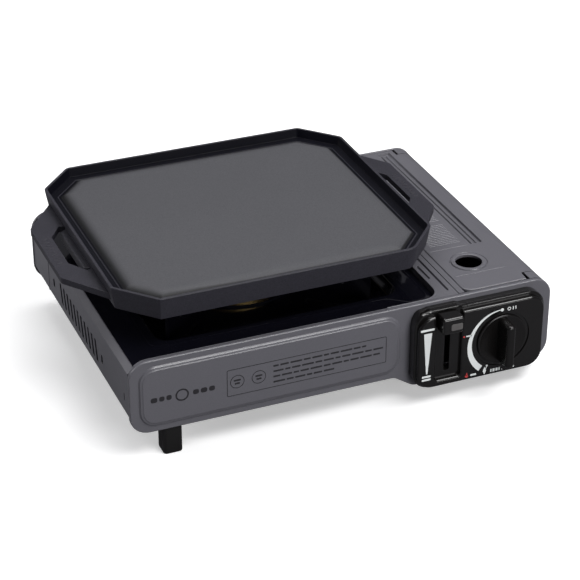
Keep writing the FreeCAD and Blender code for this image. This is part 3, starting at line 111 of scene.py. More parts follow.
def mm(name):
    """A size of the panel, in millimetres."""
    return getattr(bpy.context.scene.stove_sizes, name) * 1000


def tint(name):
    return (*getattr(bpy.context.scene.stove_colours, name), 1.0)


# ---------------------------------------------------------------- shader groups

def group_base(name, inputs, outputs):
    group = bpy.data.node_groups.new(name, "ShaderNodeTree")
    for title, kind, value in inputs:
        socket = group.interface.new_socket(title, in_out="INPUT", socket_type=kind)
        socket.default_value = value
    for title, kind in outputs:
        group.interface.new_socket(title, in_out="OUTPUT", socket_type=kind)
    return group, group.nodes.new("NodeGroupInput"), group.nodes.new("NodeGroupOutput")


def add(tree, kind, links=(), **settings):
    """A node with its settings; links are (input name or index, output socket)."""
    node = tree.nodes.new(kind)
    for key, value in settings.items():
        if key.startswith("in_"):
            node.inputs[key[3:].replace("_", " ")].default_value = value
        else:
            setattr(node, key, value)
    for socket, source in links:
        tree.links.new(source, node.inputs[socket])
    return node


def remap(tree, source, low, high, to_low, to_high):
    node = add(tree, "ShaderNodeMapRange", [("Value", source)], clamp=True)
    for name, value in (("From Min", low), ("From Max", high), ("To Min", to_low), ("To Max", to_high)):
        node.inputs[name].default_value = value
    return node.outputs["Result"]


def noise(tree, vector, scale, detail=2.0, rough=0.5):
    node = add(tree, "ShaderNodeTexNoise", [("Vector", vector)], in_Scale=scale, in_Detail=detail,
               in_Roughness=rough)
    return node.outputs["Fac"]


def grain_group():
    """Fine even grain of a coat or a moulded surface, and slow waves under it."""
    group, start, end = group_base(
        "surface_grain",
        [("Grain Scale", "NodeSocketFloat", 1500.0), ("Wave Scale", "NodeSocketFloat", 90.0),
         ("Wave Share", "NodeSocketFloat", 0.4)],
        [("Height", "NodeSocketFloat"), ("Speckle", "NodeSocketFloat")])
    place = add(group, "ShaderNodeTexCoord").outputs["Object"]
    fine = add(group, "ShaderNodeTexNoise", [("Vector", place), ("Scale", start.outputs["Grain Scale"])],
               in_Detail=3.0, in_Roughness=0.6).outputs["Fac"]
    slow = add(group, "ShaderNodeTexNoise", [("Vector", place), ("Scale", start.outputs["Wave Scale"])],
               in_Detail=1.0).outputs["Fac"]
    mix = add(group, "ShaderNodeMix", data_type="FLOAT")
    group.links.new(start.outputs["Wave Share"], mix.inputs[0])
    group.links.new(fine, mix.inputs[2])
    group.links.new(slow, mix.inputs[3])
    group.links.new(mix.outputs[0], end.inputs["Height"])
    group.links.new(fine, end.inputs["Speckle"])
    return group


def handling_group():
    """Faint smudges from handling: a mask that drifts over the surface."""
    group, start, end = group_base(
        "handling", [("Scale", "NodeSocketFloat", 22.0), ("Contrast", "NodeSocketFloat", 0.5)],
        [("Mask", "NodeSocketFloat")])
    place = add(group, "ShaderNodeTexCoord").outputs["Object"]
    cloud = add(group, "ShaderNodeTexNoise", [("Vector", place), ("Scale", start.outputs["Scale"])],
                in_Detail=5.0, in_Roughness=0.62, in_Distortion=0.6).outputs["Fac"]
    centred = add(group, "ShaderNodeMath", [(0, cloud)], operation="SUBTRACT")
    centred.inputs[1].default_value = 0.5
    spread = add(group, "ShaderNodeMath", [(0, centred.outputs[0]), (1, start.outputs["Contrast"])],
                 operation="MULTIPLY")
    result = add(group, "ShaderNodeMath", [(0, spread.outputs[0])], operation="ADD", use_clamp=True)
    result.inputs[1].default_value = 0.5
    group.links.new(result.outputs[0], end.inputs["Mask"])
    return group


def brushed_group():
    """Straight brushed lines along X."""
    group, start, end = group_base("brushed_lines", [("Scale", "NodeSocketFloat", 60.0)],
                                   [("Height", "NodeSocketFloat")])
    place = add(group, "ShaderNodeTexCoord").outputs["Object"]
    squeeze = add(group, "ShaderNodeMapping", [("Vector", place)])
    squeeze.inputs["Scale"].default_value = (1.0, 40.0, 40.0)
    lines = add(group, "ShaderNodeTexNoise", [("Vector", squeeze.outputs[0]), ("Scale", start.outputs["Scale"])],
                in_Detail=3.0).outputs["Fac"]
    group.links.new(lines, end.inputs["Height"])
    return group


class Finishes:
    """The materials, each made once."""

    def __init__(self):
        self.grain = grain_group()
        self.handling = handling_group()
        self.brushed = brushed_group()
        self.made = {}

    def group(self, tree, group, **values):
        node = tree.nodes.new("ShaderNodeGroup")
        node.node_tree = group
        for key, value in values.items():
            node.inputs[key.replace("_", " ")].default_value = value
        return node

    def coated(self, name, tone, rough, grain_scale, bump, wave_share=0.35, wave_scale=90.0, smudge=0.06,
               shade=0.06, metallic=0.0, coat=0.0, coat_rough=0.1, specular=0.5, speckle=0.0, smudge_scale=22.0,
               edge=None):
        """A coat or a plastic: tone and roughness drift with handling, a fine grain gives the bump. With edge, the
        tone carries painted shade: nearly black at its first height and full at the second (front right) or third
        (back left), standing in for the rim's shadow and dark reflections."""
        material = bpy.data.materials.new(name)
        material.use_nodes = True
        tree = material.node_tree
        shader = tree.nodes["Principled BSDF"]
        shader.inputs["Metallic"].default_value = metallic
        shader.inputs["Coat Weight"].default_value = coat
        shader.inputs["Coat Roughness"].default_value = coat_rough
        shader.inputs["Specular IOR Level"].default_value = specular
        grain = self.group(tree, self.grain, Grain_Scale=grain_scale, Wave_Scale=wave_scale,
                           Wave_Share=wave_share)
        smudges = self.group(tree, self.handling, Scale=smudge_scale, Contrast=0.9)
        mask = smudges.outputs["Mask"]
        tree.links.new(remap(tree, mask, 0.2, 0.8, rough - smudge, rough + smudge), shader.inputs["Roughness"])
        darker = tuple(c * (1 - shade) for c in tone[:3]) + (1,)
        lighter = tuple(min(1, c * (1 + shade)) for c in tone[:3]) + (1,)
        base = add(tree, "ShaderNodeMix", data_type="RGBA")
        base.inputs[6].default_value = darker
        base.inputs[7].default_value = lighter
        tree.links.new(mask, base.inputs[0])
        result = base.outputs[2]
        if speckle:
            flecks = remap(tree, grain.outputs["Speckle"], 0.36, 0.64, 1 - speckle, 1 + speckle)
            scaled = add(tree, "ShaderNodeMix", data_type="RGBA", blend_type="MULTIPLY")
            scaled.inputs[0].default_value = 1.0
            tree.links.new(result, scaled.inputs[6])
            tree.links.new(flecks, scaled.inputs[7])
            result = scaled.outputs[2]
        # Painted shade: the tone darkens towards low heights near the rim, over a wider band towards the back left.
        if edge:
            place = add(tree, "ShaderNodeTexCoord").outputs["Object"]
            axes = add(tree, "ShaderNodeSeparateXYZ", [(0, place)])
            across = add(tree, "ShaderNodeMath", [(0, axes.outputs["Y"]), (1, axes.outputs["X"])],
                         operation="SUBTRACT")
            rise = remap(tree, axes.outputs["Z"], edge[0], edge[1], 0.0, 1.0)
            tree.links.new(remap(tree, across.outputs[0], -0.03, 0.055, edge[1], edge[2]), rise.node.inputs[2])
            steep = add(tree, "ShaderNodeMath", [(0, rise)], operation="POWER")
            steep.inputs[1].default_value = 2.2
            painted_shade = add(tree, "ShaderNodeMix", [(0, steep.outputs[0]), (7, result)], data_type="RGBA")
            painted_shade.inputs[6].default_value = (0.004, 0.004, 0.005, 1)
            result = painted_shade.outputs[2]
        tree.links.new(result, shader.inputs["Base Color"])
        dent = add(tree, "ShaderNodeBump", [("Height", grain.outputs["Height"])], in_Strength=bump,
                   in_Distance=0.0002)
        tree.links.new(dent.outputs["Normal"], shader.inputs["Normal"])
        return material

    def metal(self, name, tone, rough, brushed=True):
        """Bare metal with brushed lines or a cast grain."""
        material = bpy.data.materials.new(name)
        material.use_nodes = True
        tree = material.node_tree
        shader = tree.nodes["Principled BSDF"]
        shader.inputs["Metallic"].default_value = 1.0
        source = self.group(tree, self.brushed, Scale=60.0) if brushed else \
            self.group(tree, self.grain, Grain_Scale=700.0, Wave_Scale=160.0, Wave_Share=0.4)
        height = source.outputs["Height"]
        tree.links.new(remap(tree, height, 0.3, 0.7, rough - 0.08, rough + 0.1), shader.inputs["Roughness"])
        stain = self.group(tree, self.handling, Scale=40.0, Contrast=1.0).outputs["Mask"]
        base = add(tree, "ShaderNodeMix", data_type="RGBA")
        base.inputs[6].default_value = tuple(c * 0.82 for c in tone) + (1,)
        base.inputs[7].default_value = (*tone, 1)
        tree.links.new(stain, base.inputs[0])
        tree.links.new(base.outputs[2], shader.inputs["Base Color"])
        dent = add(tree, "ShaderNodeBump", [("Height", height)], in_Strength=0.12, in_Distance=0.0002)
        tree.links.new(dent.outputs["Normal"], shader.inputs["Normal"])
        return material

    def get(self, name):
        if name not in self.made:
            self.made[name] = self.make(name)
        return self.made[name]

    def make(self, name):
        if name == "grey_paint":
            return self.coated(name, tint("paint"), 0.33, 1700.0, 0.12, wave_share=0.3, shade=0.04, coat=0.25,
                               coat_rough=0.2, speckle=0.05)
        if name == "black_enamel":
            return self.coated(name, tint("enamel_and_moat_shade"), 0.09, 900.0, 0.03, wave_share=0.9, wave_scale=70.0,
                               smudge=0.03, coat=1.0, coat_rough=0.03)
        # The cooking face's edge values give it painted shade along the rim.
        if name == "plate_face":
            return self.coated(name, tint("plate"), 0.58, 1300.0, 0.5, wave_share=0.15, smudge=0.05, shade=0.05,
                               speckle=0.14, smudge_scale=12.0, edge=(0.1184, 0.1193, 0.12102), specular=0.35)
        if name == "plate_coat":
            return self.coated(name, tint("coat"), 0.5, 1300.0, 0.5, wave_share=0.2, shade=0.08, speckle=0.3,
                               specular=0.35)
        # Painted shade: the near-black tone on the rim's inner wall, the moat and the shoulder's foot stands in for
        # the rim's shadow and dark reflections.
        if name == "plate_moat":
            return self.coated(name, tint("enamel_and_moat_shade"), 0.4, 1300.0, 0.15, shade=0.05, specular=0.15)
        if name == "black_plastic":
            return self.coated(name, tint("plastic"), 0.2, 1400.0, 0.01, wave_share=0.2, smudge=0.03, shade=0.1,
                               coat=0.7, coat_rough=0.06, specular=0.2)
        if name == "knob_plastic":
            return self.coated(name, tint("plastic"), 0.24, 2200.0, 0.05, wave_share=0.1, smudge=0.05, shade=0.1,
                               specular=0.4)
        if name == "foot_plastic":
            return self.coated(name, tint("plastic"), 0.3, 900.0, 0.15, shade=0.12)
        # Painted reflection on the lever cap's lower front.
        if name == "lever_reflection_patch":
            return self.coated(name, tint("pad"), 0.45, 1500.0, 0.3, shade=0.25, smudge_scale=180.0)
        if name == "white_print":
            return self.coated(name, tint("white"), 0.5, 1800.0, 0.1, shade=0.04)
        if name == "red_print":
            return self.coated(name, tint("red"), 0.5, 1800.0, 0.1, shade=0.06)
        if name == "dark_print":
            return self.coated(name, tint("ink"), 0.45, 1800.0, 0.1, shade=0.1)
        if name == "ceramic":
            return self.coated(name, (0.8, 0.78, 0.72, 1), 0.25, 600.0, 0.05, shade=0.04, coat=0.6)
        if name == "wire_sleeve":
            return self.coated(name, (0.45, 0.04, 0.03, 1), 0.55, 1200.0, 0.1, shade=0.1)
        if name == "zinc_steel":
            return self.metal(name, (0.58, 0.58, 0.56), 0.32)
        if name == "die_cast":
            return self.metal(name, (0.42, 0.42, 0.42), 0.5, brushed=False)
        if name == "brass":
            return self.metal(name, (0.72, 0.52, 0.22), 0.3)
        raise KeyError(name)


FINISHES = None


def finish(name):
    return FINISHES.get(name)


# ---------------------------------------------------------------- mesh helpers

def spot(plane, level, across, up):
    """A point drawn on the front (X, Z), top (X, Y) or side (Y, Z) plane at a level."""
    return Vector({"front": (across, level, up), "top": (across, up, level), "side": (level, across, up)}[plane])


def outline(bm, plane, level, corners, steps=7):
    """A closed line through (across, up, corner radius) points; returns its edges and no face."""
    known = set(bm.edges)
    points = [Vector((across, up)) for across, up, radius in corners]
    verts = [bm.verts.new(spot(plane, level, *point)) for point in points]
    bm.faces.new(verts)
    for i, vert in enumerate(verts):
        radius = corners[i][2]
        if not radius:
            continue
        turn = (points[i] - points[i - 1]).angle(points[(i + 1) % len(points)] - points[i])
        bmesh.ops.bevel(bm, geom=[vert], offset=radius * math.tan(turn / 2), offset_type="OFFSET",
                        segments=steps, profile=0.5, affect="VERTICES", material=-1)
    edges = [edge for edge in bm.edges if edge not in known]
    bmesh.ops.delete(bm, geom=list(edges[0].link_faces), context="FACES_ONLY")
    return edges


def box_corners(x0, x1, z0, z1, radius):
    return [(x0, z0, radius), (x1, z0, radius), (x1, z1, radius), (x0, z1, radius)]


def ring(bm, plane, level, x, z, radius, steps=48):
    """A circle of edges."""
    turns = {"front": Matrix.Rotation(math.pi / 2, 4, "X"), "top": Matrix(), "side": Matrix.Rotation(math.pi / 2, 4, "Y")}
    place = Matrix.Translation(spot(plane, level, x, z)) @ turns[plane]
    verts = bmesh.ops.create_circle(bm, cap_ends=False, radius=radius, segments=steps, matrix=place)["verts"]
    return list({edge for vert in verts for edge in vert.link_edges})


def aim(bm, faces, way):
    """Turn flat faces so that they look along a direction."""
    bm.normal_update()
    wrong = [face for face in faces if face.normal.dot(way) < 0]
    if wrong:
        bmesh.ops.reverse_faces(bm, faces=wrong)
    return faces


def fill(bm, edges, way):
    """Flat faces between closed lines: an outer one and the holes in it."""
    made = bmesh.ops.triangle_fill(bm, use_beauty=True, use_dissolve=False, edges=edges, normal=way)["geom"]
    faces = [item for item in made if isinstance(item, bmesh.types.BMFace)]
    border = set(edges)
    inner = list({edge for face in faces for edge in face.edges if edge not in border})
    verts = {vert for edge in edges for vert in edge.verts}
    known = set(bm.faces) - set(faces)
    bmesh.ops.dissolve_limit(bm, angle_limit=0.01, verts=[], edges=inner)
    faces = [face for face in bm.faces if face not in known and verts.issuperset(face.verts)]
    return aim(bm, faces, way)


def cap(bm, edges, way):
    """One face inside a closed line."""
    made = bmesh.ops.edgeloop_fill(bm, edges=edges)["faces"]
    return aim(bm, made, way)[0]


def step_in(bm, face, steps):
    """Rings inside a face: each step goes in by a width and out by a height, and may name the ring's material
    slot. Returns the middle face."""
    for width, height, *slot in steps:
        made = bmesh.ops.inset_region(bm, faces=[face], thickness=width, depth=height, use_even_offset=True,
                                      use_boundary=True)["faces"]
        for strip in made if slot else ():
            strip.material_index = slot[0]
    return face


def push(bm, faces, move):
    """Draw faces out along a move; the old place is closed when nothing else was there."""
    made = bmesh.ops.extrude_face_region(bm, geom=faces)["geom"]
    verts = [item for item in made if isinstance(item, bmesh.types.BMVert)]
    bmesh.ops.translate(bm, verts=verts, vec=move)
    return [item for item in made if isinstance(item, bmesh.types.BMFace)]


def draw_out(bm, edges, move):
    """Walls from a line of edges; returns the line's new edges."""
    made = bmesh.ops.extrude_edge_only(bm, edges=edges)["geom"]
    verts = [item for item in made if isinstance(item, bmesh.types.BMVert)]
    bmesh.ops.translate(bm, verts=verts, vec=move)
    return [item for item in made if isinstance(item, bmesh.types.BMEdge)
            and all(vert in verts for vert in item.verts)]


def solid(bm, plane, start, end, corners, holes=(), steps=7):
    """A closed prism on an outline with round or cornered holes."""
    edges = outline(bm, plane, start, corners, steps)
    for hole in holes:
        if len(hole) == 3:
            edges += ring(bm, plane, start, *hole)
        else:
            edges += outline(bm, plane, start, hole, steps)
    way = {"front": BACK, "top": UP, "side": RIGHT}[plane] * (1 if end > start else -1)
    faces = fill(bm, edges, -way)
    push(bm, faces, way * abs(end - start))
    return faces


def on_level(axis, level, tolerance=0.02):
    index = AXES[axis]
    return lambda edge: all(abs(vert.co[index] - level) < tolerance for vert in edge.verts)


def soften(bm, width, where=lambda edge: True, segments=2, angle=0.55):
    """Round the edges that turn sharply and pass the test."""
    bm.normal_update()
    edges = [edge for edge in bm.edges if len(edge.link_faces) == 2 and edge.calc_face_angle(0) > angle
             and where(edge)]
    bmesh.ops.bevel(bm, geom=edges, offset=width, offset_type="OFFSET", segments=segments, profile=0.5,
                    affect="EDGES", clamp_overlap=True, material=-1)


def turned(bm, plane, x, z, profile, steps=64):
    """A turned shape: (radius, level) points spun round an axis across the plane."""
    verts = [bm.verts.new(spot(plane, level, x + radius, z)) for radius, level in profile]
    edges = [bm.edges.new(pair) for pair in zip(verts, verts[1:])]
    axis = {"front": (0, 1, 0), "top": (0, 0, 1)}[plane]
    bmesh.ops.spin(bm, geom=verts + edges, cent=spot(plane, 0, x, z), axis=axis, angle=2 * math.pi, steps=steps,
                   use_merge=True)
    bmesh.ops.remove_doubles(bm, verts=bm.verts, dist=0.0005)


def piece(bm, name, materials, body, replaces=(), wall=0, closed=True, sharp=38):
    """Bring a mesh to the frame, give it its finish and let it ride on its body."""
    bmesh.ops.remove_doubles(bm, verts=bm.verts, dist=0.0008)
    if closed:
        bmesh.ops.recalc_face_normals(bm, faces=bm.faces)
    bmesh.ops.transform(bm, matrix=TO_FRAME, verts=bm.verts)
    mesh = bpy.data.meshes.new(name)
    bm.to_mesh(mesh)
    bm.free()
    for material in materials:
        mesh.materials.append(finish(material))
    mesh.shade_smooth()
    mesh.set_sharp_from_angle(angle=math.radians(sharp))
    made = bpy.data.objects.new(name, mesh)
    bpy.context.scene.collection.objects.link(made)
    if wall:
        skin = made.modifiers.new("wall", "SOLIDIFY")
        skin.thickness = wall * 0.001
        skin.offset = -1
        skin.use_even_offset = True
    weights = made.modifiers.new("weighted_normals", "WEIGHTED_NORMAL")
    weights.keep_sharp = True
    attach(made, body)
    if replaces:
        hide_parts(*replaces)
    return made


def join(bm, other):
    """Add another mesh to this one."""
    mesh = bpy.data.meshes.new("part")
    other.to_mesh(mesh)
    other.free()
    bm.from_mesh(mesh)
    bpy.data.meshes.remove(mesh)


# ---------------------------------------------------------------- CAD nodes that stay

NODE_FINISH = {
    "bay_frame": "grey_paint", "front_hinge_ear": "grey_paint", "rear_hinge_ear": "grey_paint",
    "lid_hinge_pins": "zinc_steel", "lever_arm": "zinc_steel", "canister_carriage": "zinc_steel",
    "canister_rails": "zinc_steel", "valve_spindle": "zinc_steel", "igniter_cam": "zinc_steel",
    "regulator_bracket": "zinc_steel", "regulator_screws": "zinc_steel", "igniter_clip": "zinc_steel",
    "burner_bracket": "zinc_steel", "jet_bracket": "zinc_steel", "electrode_holder": "zinc_steel",
    "foot_screws": "zinc_steel", "regulator_body": "die_cast", "burner_bowl": "die_cast",
    "valve_nozzle": "brass", "gas_jet": "brass", "gas_pipe": "brass", "burner_cap": "brass",
    "ignition_electrode": "ceramic", "ignition_wire": "wire_sleeve", "piezo_igniter": "foot_plastic",
    "front_panel": "grey_paint", "rear_panel": "grey_paint", "body_shell": "grey_paint", "top_deck": "grey_paint",
    "canister_lid": "grey_paint", "drip_tray": "black_enamel", "pan_support": "black_enamel",
    "griddle_plate": "plate_coat", "control_panel": "black_plastic", "knob": "knob_plastic",
    "lock_lever": "black_plastic", "feet": "foot_plastic",
}


class STOVE_OT_finish_nodes(bpy.types.Operator):
    """Give every CAD node its procedural finish"""
    bl_idname = "stove.finish_nodes"
    bl_label = "Finish CAD Nodes"

    def execute(self, context):
        for name, node in NODES.items():
            node.data.materials.clear()
            node.data.materials.append(finish(NODE_FINISH[name]))
        return {"FINISHED"}


# ---------------------------------------------------------------- griddle plate

class STOVE_OT_griddle(bpy.types.Operator):
    """Cast griddle plate with its moat, raised cooking face and two handles"""
    bl_idname = "stove.griddle"
    bl_label = "Griddle Plate"

    CENTRE = (130.9, 128.2)
    HALF = (128.2, 115.4)
    CHAMFER = (27.3, 30.0)
    TOP, LOW, DRAFT, SKIRT, UNDER = 125.5, 107.0, 3.0, 5.0, 112.0

    def execute(self, context):
        bm = bmesh.new()
        self.plate(bm)
        for side in (-1, 1):
            self.handle(bm, side)
        piece(bm, "griddle", ("plate_coat", "plate_face", "plate_moat"), "griddle", ["griddle_plate"],
              closed=False, sharp=30)
        return {"FINISHED"}

    def octagon(self, bm, inset, level):
        """The plate's outline moved in by a distance, with as many points whatever the distance."""
        (x, y), (cx, cy) = self.CENTRE, self.CHAMFER
        hx, hy = self.HALF[0] - inset, self.HALF[1] - inset
        spare = cx + cy - math.hypot(cx, cy)
        cx, cy = cx - inset * spare / cy, cy - inset * spare / cx
        corners = [(-hx + cx, -hy, 3), (hx - cx, -hy, 12), (hx, -hy + cy, 8), (hx, hy - cy, 6),
                   (hx - cx, hy, 6), (-hx + cx, hy, 6), (-hx, hy - cy, 6), (-hx, -hy + cy, 3)]
        corners = [(x + across, y + up, max(radius - inset, 0.8)) for across, up, radius in corners]
        return outline(bm, "top", level, corners, steps=5)

    def plate(self, bm):
        edge, rim, skirt = mm("rim_round"), mm("rim"), self.DRAFT + self.SKIRT
        top, low = self.TOP, self.LOW
        coat, face, moat = 0, 1, 2
        profile = [(skirt + 0.3, self.UNDER, coat), (skirt, low + 0.3, coat), (skirt - 0.3, low, coat),
                   (self.DRAFT + 0.4, low, coat), (self.DRAFT, low + 0.5, coat), (0, top - edge, coat),
                   (edge * 0.3, top - edge * 0.3, coat), (edge, top, coat), (rim - edge, top, coat),
                   (rim - edge * 0.3, top - edge * 0.3, coat), (rim, top - edge, moat),
                   (rim + 0.35, 118.6, moat), (rim + 0.6, 117.9, moat), (rim + 1.3, 117.5, moat),
                   # The ridge at 9.7 to 10.3 mm takes the lighter coat slot: a painted highlight on a real ridge.
                   (9.4, 117.5, moat), (9.7, 117.9, coat), (10.3, 117.9, coat), (10.8, 117.6, moat),
                   (12.0, 117.9, moat), (13.2, 118.7, face), (14.8, 119.7, face), (16.6, 120.4, face),
                   (19.0, 120.85, face), (21.5, 121.0, face), (24.0, 121.05, face)]
        made = bmesh.new()
        rings = [self.octagon(made, inset, level) for inset, level, slot in profile]
        for i, (inset, level, slot) in enumerate(profile[1:]):
            for strip in bmesh.ops.bridge_loops(made, edges=rings[i] + rings[i + 1])["faces"]:
                strip.material_index = slot
        cap(made, rings[0], DOWN)
        cap(made, rings[-1], UP).material_index = face
        bmesh.ops.recalc_face_normals(made, faces=made.faces)
        join(bm, made)

    def handle(self, bm, side):
        (x, y), root = self.CENTRE, self.HALF[0] - self.DRAFT - 1.5
        plate = [(x + side * root, y - 81, 0), (x + side * 152.5, y - 41.5, 5), (x + side * 152.5, y + 41.5, 5),
                 (x + side * root, y + 81, 0)]
        grip = [(x + side * 124.6, y - 34.4, 1), (x + side * 131, y - 37.4, 1.5), (x + side * 141, y - 22, 2),
                (x + side * 141, y + 22, 2), (x + side * 131, y + 37.4, 1.5), (x + side * 124.6, y + 34.4, 1)]
        made = bmesh.new()
        solid(made, "top", 111.0, 116.0, plate, [grip], steps=4)
        bmesh.ops.recalc_face_normals(made, faces=made.faces)
        soften(made, 0.7, lambda edge: on_level("z", 116.0)(edge) or on_level("z", 111.0)(edge))
        join(bm, made)
        web = bmesh.new()
        solid(web, "top", 107.6, 114.6, [(x + side * 125.5, y - 34, 0), (x + side * 131.6, y - 31, 2),
                                         (x + side * 131.6, y + 31, 2), (x + side * 125.5, y + 34, 0)], steps=4)
        bmesh.ops.recalc_face_normals(web, faces=web.faces)
        soften(web, 2.0, lambda edge: on_level("z", 114.6)(edge) and all(
            abs(vert.co.x - x) > 126 for vert in edge.verts), segments=3)
        join(bm, web)
        for step in range(-4, 5):
            rib = bmesh.new()
            middle = y + step * 5.0
            solid(rib, "top", 115.8, 116.35, box_corners(*sorted((x + side * 144.4, x + side * 149.4)), middle - 0.8,
                                                        middle + 0.8, 0.7), steps=2)
            bmesh.ops.recalc_face_normals(rib, faces=rib.faces)
            soften(rib, 0.2, on_level("z", 116.35), segments=1)
            join(bm, rib)


# ---------------------------------------------------------------- sheet metal of the body

PANEL = [(0, 23.5, 15), (211, 23.5, 8), (227, 13, 8), (343, 13, 15), (343, 84.3, 15), (0, 84.3, 15)]


def panel_skin(name, node, face_y, depth, holes, field=None):
    """A flanged panel: rounded outer edge, holes and, on the front, a field pressed out in two steps."""
    bm = bmesh.new()
    way = BACK if depth > 0 else FRONT
    edge_line = outline(bm, "front", face_y, PANEL, steps=8)
    lines = list(edge_line)
    for hole in holes:
        lines += ring(bm, "front", face_y, *hole) if len(hole) == 3 else outline(bm, "front", face_y, hole, 3)
    if field:
        field_line = outline(bm, "front", face_y, field, steps=8)
        lines += field_line
    fill(bm, lines, -way)
    if field:
        face = cap(bm, field_line, -way)
        step_in(bm, face, [(0.35, 0.1), (1.0, 1.0), (1.3, 0.1), (0.5, 0.45), (0.35, 0.05)])
    draw_out(bm, edge_line, way * abs(depth))
    bmesh.ops.recalc_face_normals(bm, faces=bm.faces)
    flat = max(bm.faces, key=lambda item: item.calc_area())
    if flat.normal.dot(way) > 0:
        bmesh.ops.reverse_faces(bm, faces=bm.faces)
    soften(bm, mm("panel_round"), lambda edge: edge in set(edge_line) or on_level("y", face_y)(edge) and
           max(abs(item.normal.y) for item in edge.link_faces) > 0.9 > min(
               abs(item.normal.y) for item in edge.link_faces) < 0.1, segments=5)
    return piece(bm, name, ("grey_paint",), "root", [node], wall=mm("panel_wall"), closed=False)


class STOVE_OT_panels(bpy.types.Operator):
    """Front panel with its pressed field, and rear panel with its vents"""
    bl_idname = "stove.panels"
    bl_label = "Panels"

    def execute(self, context):
        field = box_corners(6.8, 215.0, 28.6, 79.6, 13.5)
        lever_hole = box_corners(246.7, 253.7, 27, 76, 0.5)
        panel_skin("front_panel_skin", "front_panel", 0, 3.4, [lever_hole, (295.5, 46.2, 8)], field)
        vents = [box_corners(60 + 9 * i, 63 + 9 * i, 45, 62, 1.4) for i in range(13)]
        panel_skin("rear_panel_skin", "rear_panel", BODY_DEPTH, -4.0, vents)
        return {"FINISHED"}


SHELL = [(0.6, 37, 7), (9, 23.5, 7), (211, 23.5, 7), (227, 13, 7), (342.4, 13, 14), (342.4, 52, 0),
         (14, 52, 0), (14, 79.1, 0), (5.1, 79.1, 0.8), (0.6, 74.6, 0.8)]


class STOVE_OT_body_shell(bpy.types.Operator):
    """Bent sheet of both sides and the underside, with the left side's slots and grooves"""
    bl_idname = "stove.body_shell"
    bl_label = "Body Shell"

    START, END, WALL_X = 4.1, 251.9, 0.6

    def execute(self, context):
        bm = bmesh.new()
        profile = outline(bm, "front", self.START, SHELL, steps=6)
        draw_out(bm, profile, BACK * (self.END - self.START))
        wall = [face for face in bm.faces if all(abs(vert.co.x - self.WALL_X) < 0.01 for vert in face.verts)]
        inner = [face for face in bm.faces if all(abs(vert.co.x - 14) < 0.01 for vert in face.verts)]
        top = [face for face in bm.faces if all(abs(vert.co.z - 52) < 0.01 for vert in face.verts)]
        side = max(wall, key=lambda face: face.calc_area())
        low = min(vert.co.z for vert in side.verts)
        high = max(vert.co.z for vert in side.verts)
        bmesh.ops.delete(bm, geom=[side] + inner + top, context="FACES")
        self.left_wall(bm, low, high)
        bmesh.ops.remove_doubles(bm, verts=bm.verts, dist=0.001)
        bmesh.ops.recalc_face_normals(bm, faces=bm.faces)
        flat = max((face for face in bm.faces if abs(face.normal.z) > 0.9), key=lambda face: face.calc_area())
        if flat.normal.z > 0:
            bmesh.ops.reverse_faces(bm, faces=bm.faces)
        piece(bm, "body_skin", ("grey_paint",), "root", ["body_shell"], wall=mm("sheet"),
              closed=False)
        return {"FINISHED"}

    def left_wall(self, bm, low, high):
        """The flat of the left side: slanted slots, round-ended holes and the groove near the back."""
        x = self.WALL_X
        lines = outline(bm, "side", x, box_corners(self.START, self.END, low, high, 0))
        for slot in range(11):
            y = 81.5 + 9.1 * slot
            lines += outline(bm, "side", x, [(y - 4.4, 42.5, 1.2), (y - 0.1, 42.5, 1.2), (y + 4.4, 60.5, 1.2),
                                             (y + 0.1, 60.5, 1.2)], steps=3)
        for y in (67.5, 193.5):
            lines += outline(bm, "side", x, box_corners(y - 2, y + 2, 47, 55, 1.9), steps=4)
        lines += outline(bm, "side", x, box_corners(13.6, 15.2, 46, 53, 0.6), steps=3)
        groove = outline(bm, "side", x, box_corners(207.4, 208.8, 38.5, 73.2, 0.5), steps=3)
        fill(bm, lines + groove, LEFT)
        step_in(bm, cap(bm, groove, LEFT), [(0.15, -0.8)])


